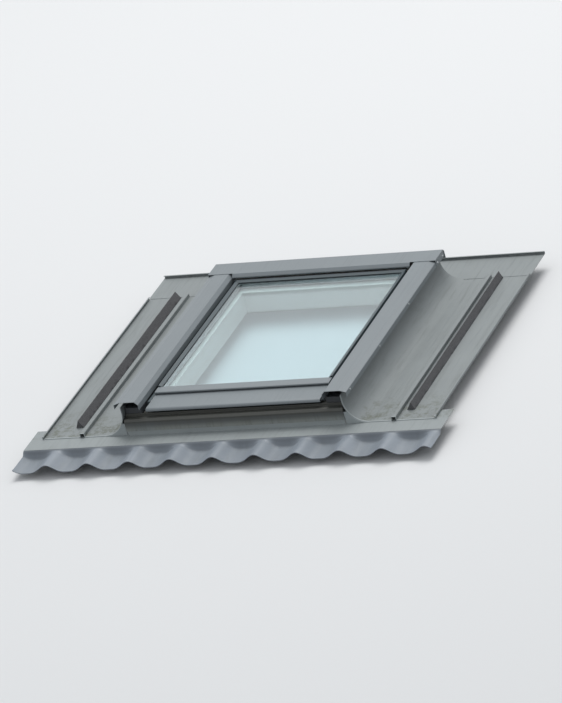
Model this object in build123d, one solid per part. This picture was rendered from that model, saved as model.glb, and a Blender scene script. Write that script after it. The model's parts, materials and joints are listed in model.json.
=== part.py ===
# Roof skylight: a timber roof window whose sash turns about its middle, with folded aluminium covers
# and a flashing kit with a waved apron. X runs level, Y up the slope and Z out of the roof.
# The origin is the centre of the four brackets' screw pattern, in the plane they lie on.
from build123d import *
from math import cos, pi
import os

# Frame, outside of the timber
FRAME_WIDTH = 780.0
FRAME_HEIGHT = 980.0
MEMBER_WIDTH = 58.0
FRAME_DEPTH = 135.0
STOP_LIP = 14.0
STOP_LIP_DEPTH = 15.0
SILL_STOP_DROP = 3.0
STILE_NOTCH = 25.0
GROOVE_WIDTH = 10.0
GROOVE_DEPTH = 8.0
GROOVE_RISE = 10.0
ARRIS = 2.0
SILL_ARRIS = 5.0

# Levels above the underside of the flashing's flange, which lies this far above the brackets
FLASHING_LEVEL = 15.0
STILE_RISE = 88.0
SILL_COVER_RISE = 59.0
SASH_RISE = 67.0
SIDE_COVER_RISE = 120.0
SKIRT_RISE = 98.0
INNER_LIP_RISE = 90.0

# Sash
SASH_GAP = 8.0
SASH_DEPTH = 72.0
SASH_STILE_WIDTH = 42.0
SASH_RAIL_WIDTH = 66.0
REBATE_RISE = 19.0
REBATE_WALL = 9.0
TOP_SETBACK = 14.0
BOTTOM_WALL = 48.0

# Glazing
PANE = 4.0
CAVITY = 16.0
TAPE = 4.0
TAPE_WIDTH = 8.0
EDGE_ROOM = 4.0
SEAL_WIDTH = 6.0
SPACER_WIDTH = 8.0
BLOCK_LENGTH = 50.0
BLOCK_SPACING = 400.0
GASKET_PLACE = (0.6, 7.0)
LEDGE_GASKET = (1.0, 8.0)
LEDGE_GAP = 1.0

# Folded sheets
COVER_SHEET = 1.2
SASH_SHEET = 1.5
FLASHING_SHEET = 1.0
BEND = 1.5
RUNNING_GAP = 0.3
FIT = 0.05

# Side cover, from its outer skirt to its inner lip
COVER_OVERHANG = 27.0
COVER_OUTER_BEVEL = (22.0, 7.0)
COVER_INNER_BEVEL = (12.0, 12.0)
COVER_INNER_EDGE = 61.0
COVER_END = 4.0
COVER_UNDER_HOOD = 25.0
CARRIER_LIP = 23.0
CLIP_SIZE = (16.0, 30.0)
CLIP_WALL = 6.0
CLIP_FROM_END = 85.0
CLIPS_A_SIDE = 4
HEAD_CLIP_PLACE = 135.0

# Sill cover
SILL_COVER_FRONT = 4.0
SILL_COVER_DROP = 28.0
SILL_BEVEL = 7.0
SILL_FLANGE = 18.0
SILL_LIP = 10.0
SILL_PLATE_GAP = 1.0

# Hood over the head
HOOD_OUTSIDE = 11.0
HOOD_REACH = 90.0
HOOD_BEVEL = (10.0, 9.5)
HOOD_FRONT_DROP = 13.0
HOOD_SKIRT = 36.0
HOOD_SIDE_SKIRT = 23.0
HOOD_NOTCH = 2.0

# Sash covers
FOOT_LIP = 10.0
FOOT_WIDTH = 10.0
SASH_SIDE_LIP = 20.0
SASH_FRONT_LEG = 41.0
BAND_HEIGHT = 17.5
BAND_WIDTH = 14.0
BAND_FALL = 7.4
LEDGE_REACH = 37.0
LEDGE_OVER_GLASS = 20.0
LEDGE_LIP = 5.0
LEDGE_LEG_BACK = 10.0
NOSE_OVERHANG = 52.0
NOSE_DROP = 11.2
NOSE_BEND = 7.0
NOSE_RETURN = 6.0
TUCK = 8.0

# Flashing kit
FLANGE_WIDTH = 65.0
UPSTAND = 45.0
FLASHING_OVER = 2.0
APRON_OVER = 42.0
APRON_TONGUE = 14.0
APRON_SHEET = 1.2
APRON_RUN = 13.0
APRON_LENGTH = 97.0
WAVE_PITCH = 150.0
WAVE_DEPTH = 26.0
WAVE_CREST_X = -25.0
WAVE_FULLNESS = 0.2
WAVE_POINTS = 8
GUTTER_GAP = 4.5
GUTTER_REACH = 316.0
GUTTER_UPSTAND = 102.0
GUTTER_BEND = 80.0
GUTTER_START = 1.0
GUTTER_LAP = 61.0
END_HEM = 6.0
PLATE_SHARE = 0.9
RIB_PLACE = 162.0
RIB_WIDTH = 14.0
RIB_HEIGHT = 14.0
HEM_HEIGHT = 9.0
HEM_RETURN = 6.0
HEAD_FLASHING = 156.0
HEAD_BEND = 18.0
TONGUE = 30.0
FOAM_PLACE = 190.0
FOAM_SIZE = (30.0, 28.0)
FOAM_PEAK = 18.0
FOAM_SETBACK = 70.0

# Brackets
BRACKET_BACK = 90.0
BRACKET_WIDTH = 50.0
BRACKET_FOOT = 58.0
BRACKET_RISE = 58.0
BRACKET_SHEET = 2.5
BRACKET_HOLE = 3.1
BRACKET_HOLES = (20.0, 44.0)
BRACKET_SCREWS = (24.0, 44.0)
BRACKET_SCREW_LENGTH = 32.0

# Screws
SCREW_RADIUS = 2.0
SCREW_HEAD = 4.2
SCREW_SINK = 2.2
SCREW_TIP = 4.0
SCREW_POINT = 0.3

# Pivot
PIN_RADIUS = 6.0
PIN_LENGTH = 18.5
PIN_FIT = 0.05
PLATE = 2.5
SASH_PLATE = (64.0, 36.0)
FRAME_PLATE = (84.0, 40.0)
BARREL_RADIUS = 14.0
BARREL_DEPTH = 18.0
BORE_FLOOR = 3.0
DISC_RADIUS = 12.0
SASH_PLATE_SCREW = 24.0
FRAME_PLATE_SCREW = 30.0
HINGE_SCREW_LENGTH = 28.0

# Seals
SEAL_HEIGHT = 6.0
SEAL_NOSE = 1.5
SEAL_EDGE = 1.0
SEAL_INSET = 0.5

# Lock and handle
HANDLE_BACK = 36.0
CASE_SIZE = (70.0, 44.0, 24.0)
FACEPLATE = (90.0, 2.5)
TONGUE_SIZE = (18.0, 28.0, 12.0)
TONGUE_CHAMFER = 2.0
SLIDE_FIT = 0.3
SPINDLE = 8.0
SPINDLE_HOLE = 6.2
ROSE_SIZE = (34.0, 50.0, 6.0)
HUB_RADIUS = 9.0
HUB_LENGTH = 14.0
LEVER_SIZE = (112.0, 18.0, 9.0)
STRIKER_SIZE = (60.0, 22.0, 2.0)
STRIKER_SCREW = 23.0
STRIKER_DEPTH = 14.0
STRIKER_SCREW_LENGTH = 18.0

# Ventilation flap
FLAP_LENGTH = 460.0
FLAP_SHEET = 2.7
FLAP_REACH = 2.0
FLAP_AXIS_BACK = 36.0
FLAP_AXIS_DROP = 4.0
FLAP_KNUCKLE = 3.4
FLAP_PIN = 1.5
FLAP_TAB = (60.0, 12.0)
FLAP_HINGE_PLACE = 150.0
FLAP_HINGE = (30.0, 12.0)

# Safety bolt
BOLT_BACK = 52.0
BOLT_DROP = 8.0
BOLT_INSET = 2.0
BOLT_RADIUS = 4.0
BOLT_LENGTH = 56.0
BOLT_TRAVEL = 20.0
BOLT_BLOCK = (60.0, 18.0, 14.0)
BOLT_KNOB = (3.0, 12.0)
BUSH_WALL = 3.0
BUSH_DEPTH = 16.0
BUSH_FLOOR = 2.0

# Places worked out from the sizes
half_w = FRAME_WIDTH / 2
half_h = FRAME_HEIGHT / 2
frame_top = FLASHING_LEVEL + STILE_RISE
frame_bottom = frame_top - FRAME_DEPTH
open_x = half_w - MEMBER_WIDTH
open_y = half_h - MEMBER_WIDTH
sash_x = open_x - SASH_GAP
sash_y = open_y - SASH_GAP
sash_top = FLASHING_LEVEL + SASH_RISE
sash_bottom = sash_top - SASH_DEPTH
wall_top = sash_top + REBATE_RISE
top_wall_y = sash_y - TOP_SETBACK
pivot_z = (sash_top + sash_bottom) / 2
cover_top = FLASHING_LEVEL + SIDE_COVER_RISE
sill_top = FLASHING_LEVEL + SILL_COVER_RISE - COVER_SHEET
front_y = -half_h - SILL_COVER_FRONT
flange_top = FLASHING_LEVEL + FLASHING_SHEET
gutter_top = flange_top + FLASHING_SHEET
gutter_x = half_w + GUTTER_GAP
corner_x = gutter_x - FLASHING_SHEET - RUNNING_GAP
corner_radius = GUTTER_BEND + FLASHING_SHEET + RUNNING_GAP
inner_pane_z = sash_top + TAPE
cavity_z = inner_pane_z + PANE
outer_pane_z = cavity_z + CAVITY
glass_top = outer_pane_z + PANE
unit_x = sash_x - REBATE_WALL - EDGE_ROOM
unit_top_y = top_wall_y - REBATE_WALL - EDGE_ROOM
ledge_front_y = -sash_y + BOTTOM_WALL - LEDGE_LIP
ledge_back_y = ledge_front_y + LEDGE_REACH
unit_bottom_y = ledge_back_y - LEDGE_OVER_GLASS
ledge_top = glass_top + LEDGE_GAP + SASH_SHEET
foot_top = wall_top + SASH_SHEET
band_x = sash_x - FOOT_WIDTH
band_y = top_wall_y - FOOT_WIDTH
nose_y = -sash_y - NOSE_OVERHANG
handle_y = -sash_y + HANDLE_BACK
stop_y = open_y - STOP_LIP
sill_stop_top = sash_bottom - SILL_STOP_DROP
lip_y = front_y + SILL_BEVEL + SILL_FLANGE
bracket_y = half_h - BRACKET_BACK
flap_y = open_y - FLAP_AXIS_BACK
flap_z = sash_bottom - FLAP_AXIS_DROP
bolt_y = sash_y - BOLT_BACK
bolt_z = sash_bottom - BOLT_DROP
bolt_x = sash_x - BOLT_INSET - BOLT_BLOCK[0]
knob_x = bolt_x + (BOLT_BLOCK[0] - BOLT_TRAVEL) / 2
apron_half = half_w + GUTTER_REACH + APRON_OVER
fold_y = front_y - FLANGE_WIDTH
mortise_room = 3 * SLIDE_FIT

nodes = {}


def keep(name, *shapes):
    """Store one sub-part, made of one or more separate solids."""
    solids = [solid for shape in shapes for solid in shape.solids()]
    nodes[name] = solids[0] if len(solids) == 1 else Compound(children=solids)


def block(x, y, z):
    """A box between two places along each axis."""
    size = (x[1] - x[0], y[1] - y[0], z[1] - z[0])
    return Pos((x[0] + x[1]) / 2, (y[0] + y[1]) / 2, (z[0] + z[1]) / 2) * Box(*size)


def rod(radius, start, direction, length):
    """A round bar from a point along a direction."""
    along = (Align.CENTER, Align.CENTER, Align.MIN)
    return Plane(origin=start, z_dir=direction) * Cylinder(radius, length, align=along)


def sheet(points, thickness, bends=BEND):
    """Section of a folded sheet: its visible line runs through the points, its metal lies to the left.

    A negative thickness puts the metal to the right. bends is one inner radius, or one for each fold.
    """
    points = [Vector(*point) for point in points]
    ways = [(b - a).normalized() for a, b in zip(points, points[1:])]
    sides = [Vector(-way.Y, way.X) * thickness for way in ways]
    metal = abs(thickness)
    radii = bends if isinstance(bends, (list, tuple)) else [bends] * (len(points) - 2)
    far = [points[0] + sides[0]]
    near_radii, far_radii = [], []
    for corner, radius in enumerate(radii, start=1):
        before, after = ways[corner - 1], ways[corner]
        far.append(points[corner] + (sides[corner - 1] + sides[corner]) * (1 / (1 + before.dot(after))))
        folds_to_metal = (before.X * after.Y - before.Y * after.X) * thickness > 0
        near_radii.append(radius + metal if folds_to_metal else radius)
        far_radii.append(radius if folds_to_metal else radius + metal)
    far.append(points[-1] + sides[-1])
    if radii:
        near_line = FilletPolyline(*points, radius=near_radii)
        far_line = FilletPolyline(*far, radius=far_radii)
    else:
        near_line, far_line = Polyline(*points), Polyline(*far)
    ends = [Line(near_line @ 0, far_line @ 0), Line(near_line @ 1, far_line @ 1)]
    return make_face([*near_line.edges(), *far_line.edges(), *ends])


def along_x(face, x):
    """Extrude a section drawn in Y and Z from one X to another."""
    return extrude(Plane(origin=(x[0], 0, 0), x_dir=(0, 1, 0), z_dir=(1, 0, 0)) * face, x[1] - x[0])


def along_y(face, y):
    """Extrude a section drawn in X and Z from one Y to another."""
    return extrude(Plane(origin=(0, y[1], 0), x_dir=(1, 0, 0), z_dir=(0, -1, 0)) * face, y[1] - y[0])


def polygon(points):
    """A flat face inside straight lines."""
    return make_face(Polyline(*points, close=True).edges())


def other_side(shape):
    """The same piece on the left of the window."""
    return mirror(shape, about=Plane.YZ)


def screw(start, direction, length, room=0.0):
    """A countersunk screw, or the hole for it when room is given. start is the middle of its head."""
    along = (Align.CENTER, Align.CENTER, Align.MIN)
    head = Cone(SCREW_HEAD + room, SCREW_RADIUS + room, SCREW_SINK, align=along)
    tip = Cone(SCREW_RADIUS + room, SCREW_POINT, SCREW_TIP, align=along)
    shank = rod(SCREW_RADIUS + room, (0, 0, 0), (0, 0, 1), length - SCREW_TIP)
    whole = head + shank + Pos(0, 0, length - SCREW_TIP) * tip
    return Plane(origin=start, z_dir=direction) * whole


# Places of the screws, each with its direction
def bracket_screw_places():
    """Two screws through each bracket into its stile."""
    return [
        ((side * (half_w + BRACKET_SHEET), end * bracket_y, rise), (-side, 0, 0))
        for side in (-1, 1)
        for end in (-1, 1)
        for rise in BRACKET_SCREWS
    ]


def frame_hinge_screw_places():
    """Two screws through each frame hinge plate."""
    face, place = open_x - PLATE, FRAME_PLATE_SCREW
    return [((side * face, end * place, pivot_z), (side, 0, 0)) for side in (-1, 1) for end in (-1, 1)]


def sash_hinge_screw_places():
    """Two screws through each sash hinge plate."""
    face, place = sash_x + PLATE, SASH_PLATE_SCREW
    return [((side * face, end * place, pivot_z), (-side, 0, 0)) for side in (-1, 1) for end in (-1, 1)]


def striker_screw_places():
    """Two screws through the striker plate."""
    face = -open_y + STRIKER_SIZE[2]
    return [((side * STRIKER_SCREW, face, pivot_z), (0, -1, 0)) for side in (-1, 1)]


def screws(places, length):
    """The screws at a list of places."""
    return [screw(start, way, length) for start, way in places]


def holes(places, length):
    """The holes for the screws at a list of places."""
    return [screw(start, way, length + FIT, FIT) for start, way in places]


# Timber frame
def frame_stile():
    """Right stile, with the lining groove, the barrel's pocket and a notch for the sill cover."""
    body = block((open_x, half_w), (-half_h, half_h), (frame_bottom, frame_top))
    body = fillet(body.edges().filter_by(Axis.Y), ARRIS)
    groove_z = frame_bottom + GROOVE_RISE
    body -= block((open_x, open_x + GROOVE_DEPTH), (-half_h, half_h), (groove_z, groove_z + GROOVE_WIDTH))
    body -= block((open_x, half_w), (-half_h, -half_h + STILE_NOTCH), (sill_top, frame_top))
    body = chamfer(body.edges().filter_by(Axis.X).group_by(Axis.Y)[0].sort_by(Axis.Z)[-1], SILL_ARRIS)
    body -= rod(BARREL_RADIUS + FIT, (open_x, 0, pivot_z), (1, 0, 0), BARREL_DEPTH + FIT)
    return body


def frame_sill():
    """Sill, with a stop below the sash and a mortise for the lock's tongue."""
    body = block((-open_x, open_x), (-half_h, -open_y), (frame_bottom, sill_top))
    front = body.edges().filter_by(Axis.X).group_by(Axis.Z)[-1].sort_by(Axis.Y)[0]
    body = chamfer(front, SILL_ARRIS)
    body += block((-open_x, open_x), (-open_y, -stop_y), (frame_bottom, sill_stop_top))
    groove_z = frame_bottom + GROOVE_RISE
    body -= block((-open_x, open_x), (-stop_y - GROOVE_DEPTH, -stop_y), (groove_z, groove_z + GROOVE_WIDTH))
    width, height = TONGUE_SIZE[0] / 2 + mortise_room, TONGUE_SIZE[2] / 2 + mortise_room
    body -= block((-width, width), (-open_y - STRIKER_DEPTH, -open_y), (pivot_z - height, pivot_z + height))
    return body


def frame_head():
    """Head, with a stop above the sash."""
    body = block((-open_x, open_x), (open_y, half_h), (frame_bottom, frame_top))
    body += block((-open_x, open_x), (stop_y, open_y), (frame_top - STOP_LIP_DEPTH, frame_top))
    groove_z = frame_bottom + GROOVE_RISE
    body -= block((-open_x, open_x), (open_y, open_y + GROOVE_DEPTH), (groove_z, groove_z + GROOVE_WIDTH))
    return body


def bolt_bush():
    """Steel bush in the right stile for the safety bolt."""
    start = (open_x, bolt_y, bolt_z)
    bore = BOLT_RADIUS + SLIDE_FIT
    body = rod(bore + BUSH_WALL, start, (1, 0, 0), BUSH_DEPTH)
    return body - rod(bore, start, (1, 0, 0), BUSH_DEPTH - BUSH_FLOOR)


right_stile = frame_stile()
left_stile = other_side(right_stile)
sill = frame_sill()
stile_holes = holes(bracket_screw_places(), BRACKET_SCREW_LENGTH)
stile_holes += holes(frame_hinge_screw_places(), HINGE_SCREW_LENGTH)
for hole in stile_holes:
    right_stile -= hole
    left_stile -= hole
for hole in holes(striker_screw_places(), STRIKER_SCREW_LENGTH):
    sill -= hole
bush_pocket = BOLT_RADIUS + SLIDE_FIT + BUSH_WALL
right_stile -= rod(bush_pocket, (open_x, bolt_y, bolt_z), (1, 0, 0), BUSH_DEPTH)
keep("frame_left_stile", left_stile)
keep("frame_right_stile", right_stile)
keep("frame_sill", sill)
keep("frame_head", frame_head())
keep("bolt_bush", bolt_bush())


# Seals between the frame and the sash
def side_seal():
    """Bulb seal on the right stile, clear of the sash cover's lip and cut where the hinge turns."""
    tip = sash_x + SASH_SHEET + RUNNING_GAP
    top = sash_top - SEAL_HEIGHT / 2
    low = top - SEAL_HEIGHT
    shoulder = tip + SEAL_NOSE
    bulb = [(shoulder, top - SEAL_EDGE), (tip, (top + low) / 2), (shoulder, low + SEAL_EDGE)]
    profile = polygon([(open_x, low), (open_x, top), *bulb])
    reach = (SASH_PLATE[0] ** 2 + SASH_PLATE[1] ** 2) ** 0.5 / 2
    return [along_y(profile, (-open_y, -reach)), along_y(profile, (reach, open_y))]


seal_x = (-open_x, open_x)
keep("frame_seals_side", *side_seal(), *[other_side(piece) for piece in side_seal()])
keep(
    "frame_seal_sill",
    block(seal_x, (-sash_y + SEAL_INSET, -stop_y - SEAL_INSET), (sill_stop_top, sash_bottom - RUNNING_GAP)),
)
keep(
    "frame_seal_head",
    block(
        seal_x,
        (stop_y + SEAL_INSET, sash_y - SEAL_INSET),
        (sash_top + RUNNING_GAP, frame_top - STOP_LIP_DEPTH),
    ),
)


# Covers of the frame
def side_carrier():
    """Rail on the right stile's top that holds the side cover, closed over the stile's lower end."""
    edge = open_x - SASH_SHEET
    top = frame_top + SASH_SHEET
    lip = cover_top - COVER_SHEET - RUNNING_GAP
    outer = half_w - SASH_SHEET
    line = [(edge, top - CARRIER_LIP - SASH_SHEET), (edge, top), (outer, top), (outer, lip)]
    start = -half_h + STILE_NOTCH
    body = along_y(sheet(line, -SASH_SHEET), (start, half_h))
    clear_of_bend = open_x + 2 * BEND
    body -= block((edge, clear_of_bend), (stop_y - RUNNING_GAP, half_h), (top - 2 * CARRIER_LIP, top))
    low = sill_top + COVER_SHEET + RUNNING_GAP
    tab_x = (open_x - RUNNING_GAP, half_w - RUNNING_GAP)
    return body + block(tab_x, (start - SASH_SHEET, start), (low, top - SASH_SHEET / 2))


def side_cover():
    """Right side cover: a wide folded profile, open at its lower end."""
    out = half_w + COVER_OVERHANG
    inner = half_w - COVER_INNER_EDGE
    line = [
        (out, FLASHING_LEVEL + SKIRT_RISE),
        (out, cover_top - COVER_OUTER_BEVEL[1]),
        (out - COVER_OUTER_BEVEL[0], cover_top),
        (inner + COVER_INNER_BEVEL[0], cover_top),
        (inner, cover_top - COVER_INNER_BEVEL[1]),
        (inner, FLASHING_LEVEL + INNER_LIP_RISE),
    ]
    return along_y(sheet(line, COVER_SHEET), (-half_h + COVER_END, half_h - HOOD_REACH + COVER_UNDER_HOOD))


def cover_clips():
    """Clips between the carrier rails and the side covers."""
    middle = half_w - MEMBER_WIDTH / 2
    x = (middle - CLIP_SIZE[0] / 2, middle + CLIP_SIZE[0] / 2)
    z = (frame_top + SASH_SHEET, cover_top - COVER_SHEET)
    clips = []
    end = half_h - CLIP_FROM_END
    for step in range(CLIPS_A_SIDE):
        y = -end + step * 2 * end / (CLIPS_A_SIDE - 1)
        clip = block(x, (y - CLIP_SIZE[1] / 2, y + CLIP_SIZE[1] / 2), z)
        window_z = (z[0] + CLIP_WALL, z[1] - CLIP_WALL)
        clip -= block(x, (y - CLIP_SIZE[1] / 4, y + CLIP_SIZE[1] / 4), window_z)
        clips += [clip, other_side(clip)]
    head_y = half_h - MEMBER_WIDTH / 2
    y = (head_y - CLIP_SIZE[0] / 2, head_y + CLIP_SIZE[0] / 2)
    z = (frame_top, cover_top + RUNNING_GAP)
    head_clip = block((HEAD_CLIP_PLACE, HEAD_CLIP_PLACE + CLIP_SIZE[1]), y, z)
    return [*clips, head_clip, other_side(head_clip)]


def sill_cover():
    """Cover of the sill: front wall, bevel, flange, a doubled lip, a plate behind it and two cheeks."""
    top = sill_top + COVER_SHEET
    low = top - SILL_BEVEL - SILL_COVER_DROP - SILL_BEVEL
    line = [
        (front_y, low),
        (front_y, top - SILL_BEVEL),
        (front_y + SILL_BEVEL, top),
        (lip_y, top),
        (lip_y, top + SILL_LIP),
    ]
    cheek_x = (half_w + RUNNING_GAP, half_w + RUNNING_GAP + COVER_SHEET)
    body = along_x(sheet(line, -COVER_SHEET), (-cheek_x[1], cheek_x[1]))
    lip_back = lip_y + 2 * COVER_SHEET
    body += block((-cheek_x[1], cheek_x[1]), (lip_y + COVER_SHEET / 2, lip_back), (sill_top, top + SILL_LIP))
    plate_x = open_x - RUNNING_GAP
    body += block((-plate_x, plate_x), (lip_y + COVER_SHEET, -open_y - SILL_PLATE_GAP), (sill_top, top))
    middle = COVER_SHEET / 2
    cheek = along_x(
        polygon(
            [
                (front_y + middle, low),
                (front_y + middle, top - SILL_BEVEL),
                (front_y + SILL_BEVEL, top - middle),
                (lip_y + middle, top - middle),
                (lip_y + middle, low),
            ]
        ),
        cheek_x,
    )
    return body + cheek + other_side(cheek)


def head_hood():
    """Hood over the head, lapped over the upper ends of the side covers."""
    top = cover_top + RUNNING_GAP + COVER_SHEET
    front = half_h - HOOD_REACH
    back = half_h + HOOD_OUTSIDE
    line = [
        (back, top - HOOD_SKIRT),
        (back, top - HOOD_BEVEL[1]),
        (back - HOOD_BEVEL[0], top),
        (front + HOOD_BEVEL[0], top),
        (front, top - HOOD_BEVEL[1]),
        (front, top - HOOD_FRONT_DROP),
    ]
    side = half_w + COVER_OVERHANG + RUNNING_GAP
    body = along_x(sheet(line, COVER_SHEET), (-side, side))
    notch_x = (half_w - COVER_INNER_EDGE - 2 * COVER_SHEET, side)
    notch_end = front + HOOD_BEVEL[0] + HOOD_NOTCH
    notch = block(notch_x, (front - COVER_SHEET, notch_end), (top - HOOD_SKIRT, top + COVER_SHEET))
    body = body - notch - other_side(notch)
    skirt_y = (notch_end, back - HOOD_BEVEL[0] - COVER_SHEET)
    skirt = block((side, side + COVER_SHEET), skirt_y, (top - HOOD_SIDE_SKIRT, top))
    return body + skirt + other_side(skirt)


keep("side_carrier_right", side_carrier())
keep("side_carrier_left", other_side(side_carrier()))
keep("side_cover_right", side_cover())
keep("side_cover_left", other_side(side_cover()))
keep("cover_clips", *cover_clips())
keep("sill_cover", sill_cover())
keep("head_hood", head_hood())


# Flashing kit
def corner_plate(y, z):
    """Plate that closes the space below the right gutter's round corner, its edge along the curve."""
    plate_x = (half_w + FLASHING_OVER, corner_x + PLATE_SHARE * corner_radius)
    plate = block(plate_x, (y, y + FLASHING_SHEET), z)
    centre = (corner_x + corner_radius, y, flange_top + corner_radius)
    return plate - rod(corner_radius + FLASHING_SHEET / 2, centre, (0, 1, 0), FLASHING_SHEET)


def flashing_sill():
    """Bottom section: an upstand against the sill, a flat flange and a round corner at each end."""
    upstand_y = -half_h - RUNNING_GAP * 2 - FLASHING_SHEET
    top = FLASHING_LEVEL + UPSTAND
    line = [(upstand_y, top), (upstand_y, flange_top), (fold_y, flange_top)]
    body = along_x(sheet(line, FLASHING_SHEET), (-half_w, half_w))
    side = block((half_w, apron_half), (fold_y, upstand_y), (FLASHING_LEVEL, flange_top))
    full_top = flange_top + corner_radius + BEND
    wing_line = [(apron_half, flange_top), (corner_x, flange_top), (corner_x, full_top)]
    wing_y = (upstand_y, -half_h + GUTTER_LAP)
    side += along_y(sheet(wing_line, FLASHING_SHEET, corner_radius), wing_y)
    side -= block((half_w, corner_x + corner_radius), wing_y, (top, full_top + BEND))
    side += corner_plate(upstand_y, (FLASHING_LEVEL, top))
    return body + side + other_side(side)


def wave_drop(x):
    """How far the apron lies below its crests: narrow rolls with wide pans between them."""
    turn = 2 * pi * (x - WAVE_CREST_X) / WAVE_PITCH
    return WAVE_DEPTH * ((1 - cos(turn)) / 2 + WAVE_FULLNESS * (1 - cos(2 * turn)) / 2)


def apron_section(y, depth):
    """Cross-section of the apron at a place down the slope, waved by a share of the full depth."""
    count = round(2 * apron_half / WAVE_PITCH * WAVE_POINTS)
    spacing = 2 * apron_half / count
    places = [-apron_half + spacing * step for step in range(count + 1)]
    top = [Vector(x, y, FLASHING_LEVEL - depth * wave_drop(x)) for x in places]
    low = [point - Vector(0, 0, APRON_SHEET) for point in top]
    lines = [Spline(*top), Spline(*low)] if depth else [Line(top[0], top[-1]), Line(low[0], low[-1])]
    return Face(Wire([*(line.edge() for line in lines), Edge.make_line(top[0], low[0]),
                      Edge.make_line(top[-1], low[-1])]))


def flashing_apron():
    """Pliable apron: a tongue under the flange, a steep drop into each pan, then even waves."""
    drop_y = fold_y - APRON_RUN
    places = [(fold_y + APRON_TONGUE, 0), (fold_y, 0), (drop_y, 1), (drop_y - APRON_LENGTH, 1)]
    return loft([apron_section(y, depth) for y, depth in places], ruled=True)


def flashing_gutter():
    """Right gutter section: upstand, large round corner, floor, rib, and hems outside and at the end."""
    rib = half_w + RIB_PLACE
    edge = half_w + GUTTER_REACH
    wall_x = gutter_x - FLASHING_SHEET
    top = gutter_top + GUTTER_UPSTAND
    line = [
        (edge - HEM_RETURN, gutter_top + HEM_HEIGHT),
        (edge, gutter_top + HEM_HEIGHT),
        (edge, flange_top),
        (rib + RIB_WIDTH, flange_top),
        (rib + RIB_WIDTH, flange_top + RIB_HEIGHT),
        (rib, flange_top + RIB_HEIGHT),
        (rib, flange_top),
        (wall_x, flange_top),
        (wall_x, top),
    ]
    bends = [BEND, BEND, BEND, BEND, BEND, BEND, GUTTER_BEND]
    start = -half_h + GUTTER_START
    body = along_y(sheet(line, -FLASHING_SHEET, bends), (start, half_h + GUTTER_GAP))
    hem_line = [(rib - 2 * BEND, flange_top), (wall_x, flange_top), (wall_x, top)]
    hem = sheet(hem_line, -2 * FLASHING_SHEET, GUTTER_BEND - FLASHING_SHEET)
    body += along_y(hem, (start, start + END_HEM))
    hem_x = (rib + RIB_WIDTH + 2 * BEND, edge - HEM_RETURN - BEND)
    body += block(hem_x, (start, start + END_HEM), (flange_top, gutter_top + FLASHING_SHEET))
    tongue_x = (gutter_x + GUTTER_BEND, rib - 2 * BEND)
    outer_x = (rib + RIB_WIDTH + 2 * BEND, edge - HEM_RETURN - BEND)
    tongue_y = (half_h + GUTTER_GAP, half_h + GUTTER_GAP + TONGUE)
    for x in (tongue_x, outer_x):
        body += block(x, tongue_y, (flange_top, gutter_top))
    return body


def head_floor_line(start):
    """Line of the head section's floor from a place behind the head, with its hem at the back."""
    floor_z = gutter_top + FLASHING_SHEET
    end = half_h + GUTTER_GAP + HEAD_FLASHING
    hem_z = floor_z + HEM_HEIGHT
    return [(start, floor_z), (end, floor_z), (end, hem_z), (end - HEM_RETURN, hem_z)]


def flashing_head():
    """Middle of the head section: an upstand behind the head, a plate at each end of it and a floor."""
    back = half_h + GUTTER_GAP
    top = gutter_top + GUTTER_UPSTAND
    line = [(back + FLASHING_SHEET, top), *head_floor_line(back + FLASHING_SHEET)]
    side = half_w + FLASHING_OVER
    body = along_x(sheet(line, -FLASHING_SHEET, [HEAD_BEND, BEND, BEND]), (-side, side))
    plate = corner_plate(back, (gutter_top, top))
    return body + plate + other_side(plate)


def flashing_head_wing():
    """Right wing of the head section, laid over the gutter's tongues."""
    line = head_floor_line(half_h + GUTTER_GAP + FLASHING_SHEET)
    return along_x(sheet(line, -FLASHING_SHEET), (half_w + FLASHING_OVER, half_w + GUTTER_REACH))


def foam_strip():
    """Foam wedge on the right gutter, between its rib and its hem."""
    x = half_w + FOAM_PLACE
    width, height = FOAM_SIZE
    profile = polygon([(x, gutter_top), (x + width, gutter_top), (x + FOAM_PEAK, gutter_top + height)])
    return along_y(profile, (-half_h + FOAM_SETBACK, half_h))


keep("flashing_sill", flashing_sill())
keep("flashing_apron", flashing_apron())
keep("flashing_right", flashing_gutter())
keep("flashing_left", other_side(flashing_gutter()))
keep("flashing_head", flashing_head())
keep("flashing_head_right", flashing_head_wing())
keep("flashing_head_left", other_side(flashing_head_wing()))
keep("foam_strips", foam_strip(), other_side(foam_strip()))


# Brackets
def bracket(end):
    """Right bracket at the lower or the upper end, with its two roof holes open."""
    y = (end * bracket_y - BRACKET_WIDTH / 2, end * bracket_y + BRACKET_WIDTH / 2)
    line = [(half_w + BRACKET_FOOT, BRACKET_SHEET), (half_w + BRACKET_SHEET, BRACKET_SHEET),
            (half_w + BRACKET_SHEET, BRACKET_RISE)]
    body = along_y(sheet(line, BRACKET_SHEET), y)
    for place in BRACKET_HOLES:
        body -= rod(BRACKET_HOLE, (half_w + place, end * bracket_y, 0), (0, 0, 1), BRACKET_SHEET)
    for hole in holes(bracket_screw_places(), BRACKET_SCREW_LENGTH):
        body -= hole
    return body


for label, end in (("lower", -1), ("upper", 1)):
    keep(f"bracket_{label}_right", bracket(end))
    keep(f"bracket_{label}_left", other_side(bracket(end)))
keep("bracket_screws", *screws(bracket_screw_places(), BRACKET_SCREW_LENGTH))


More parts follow.
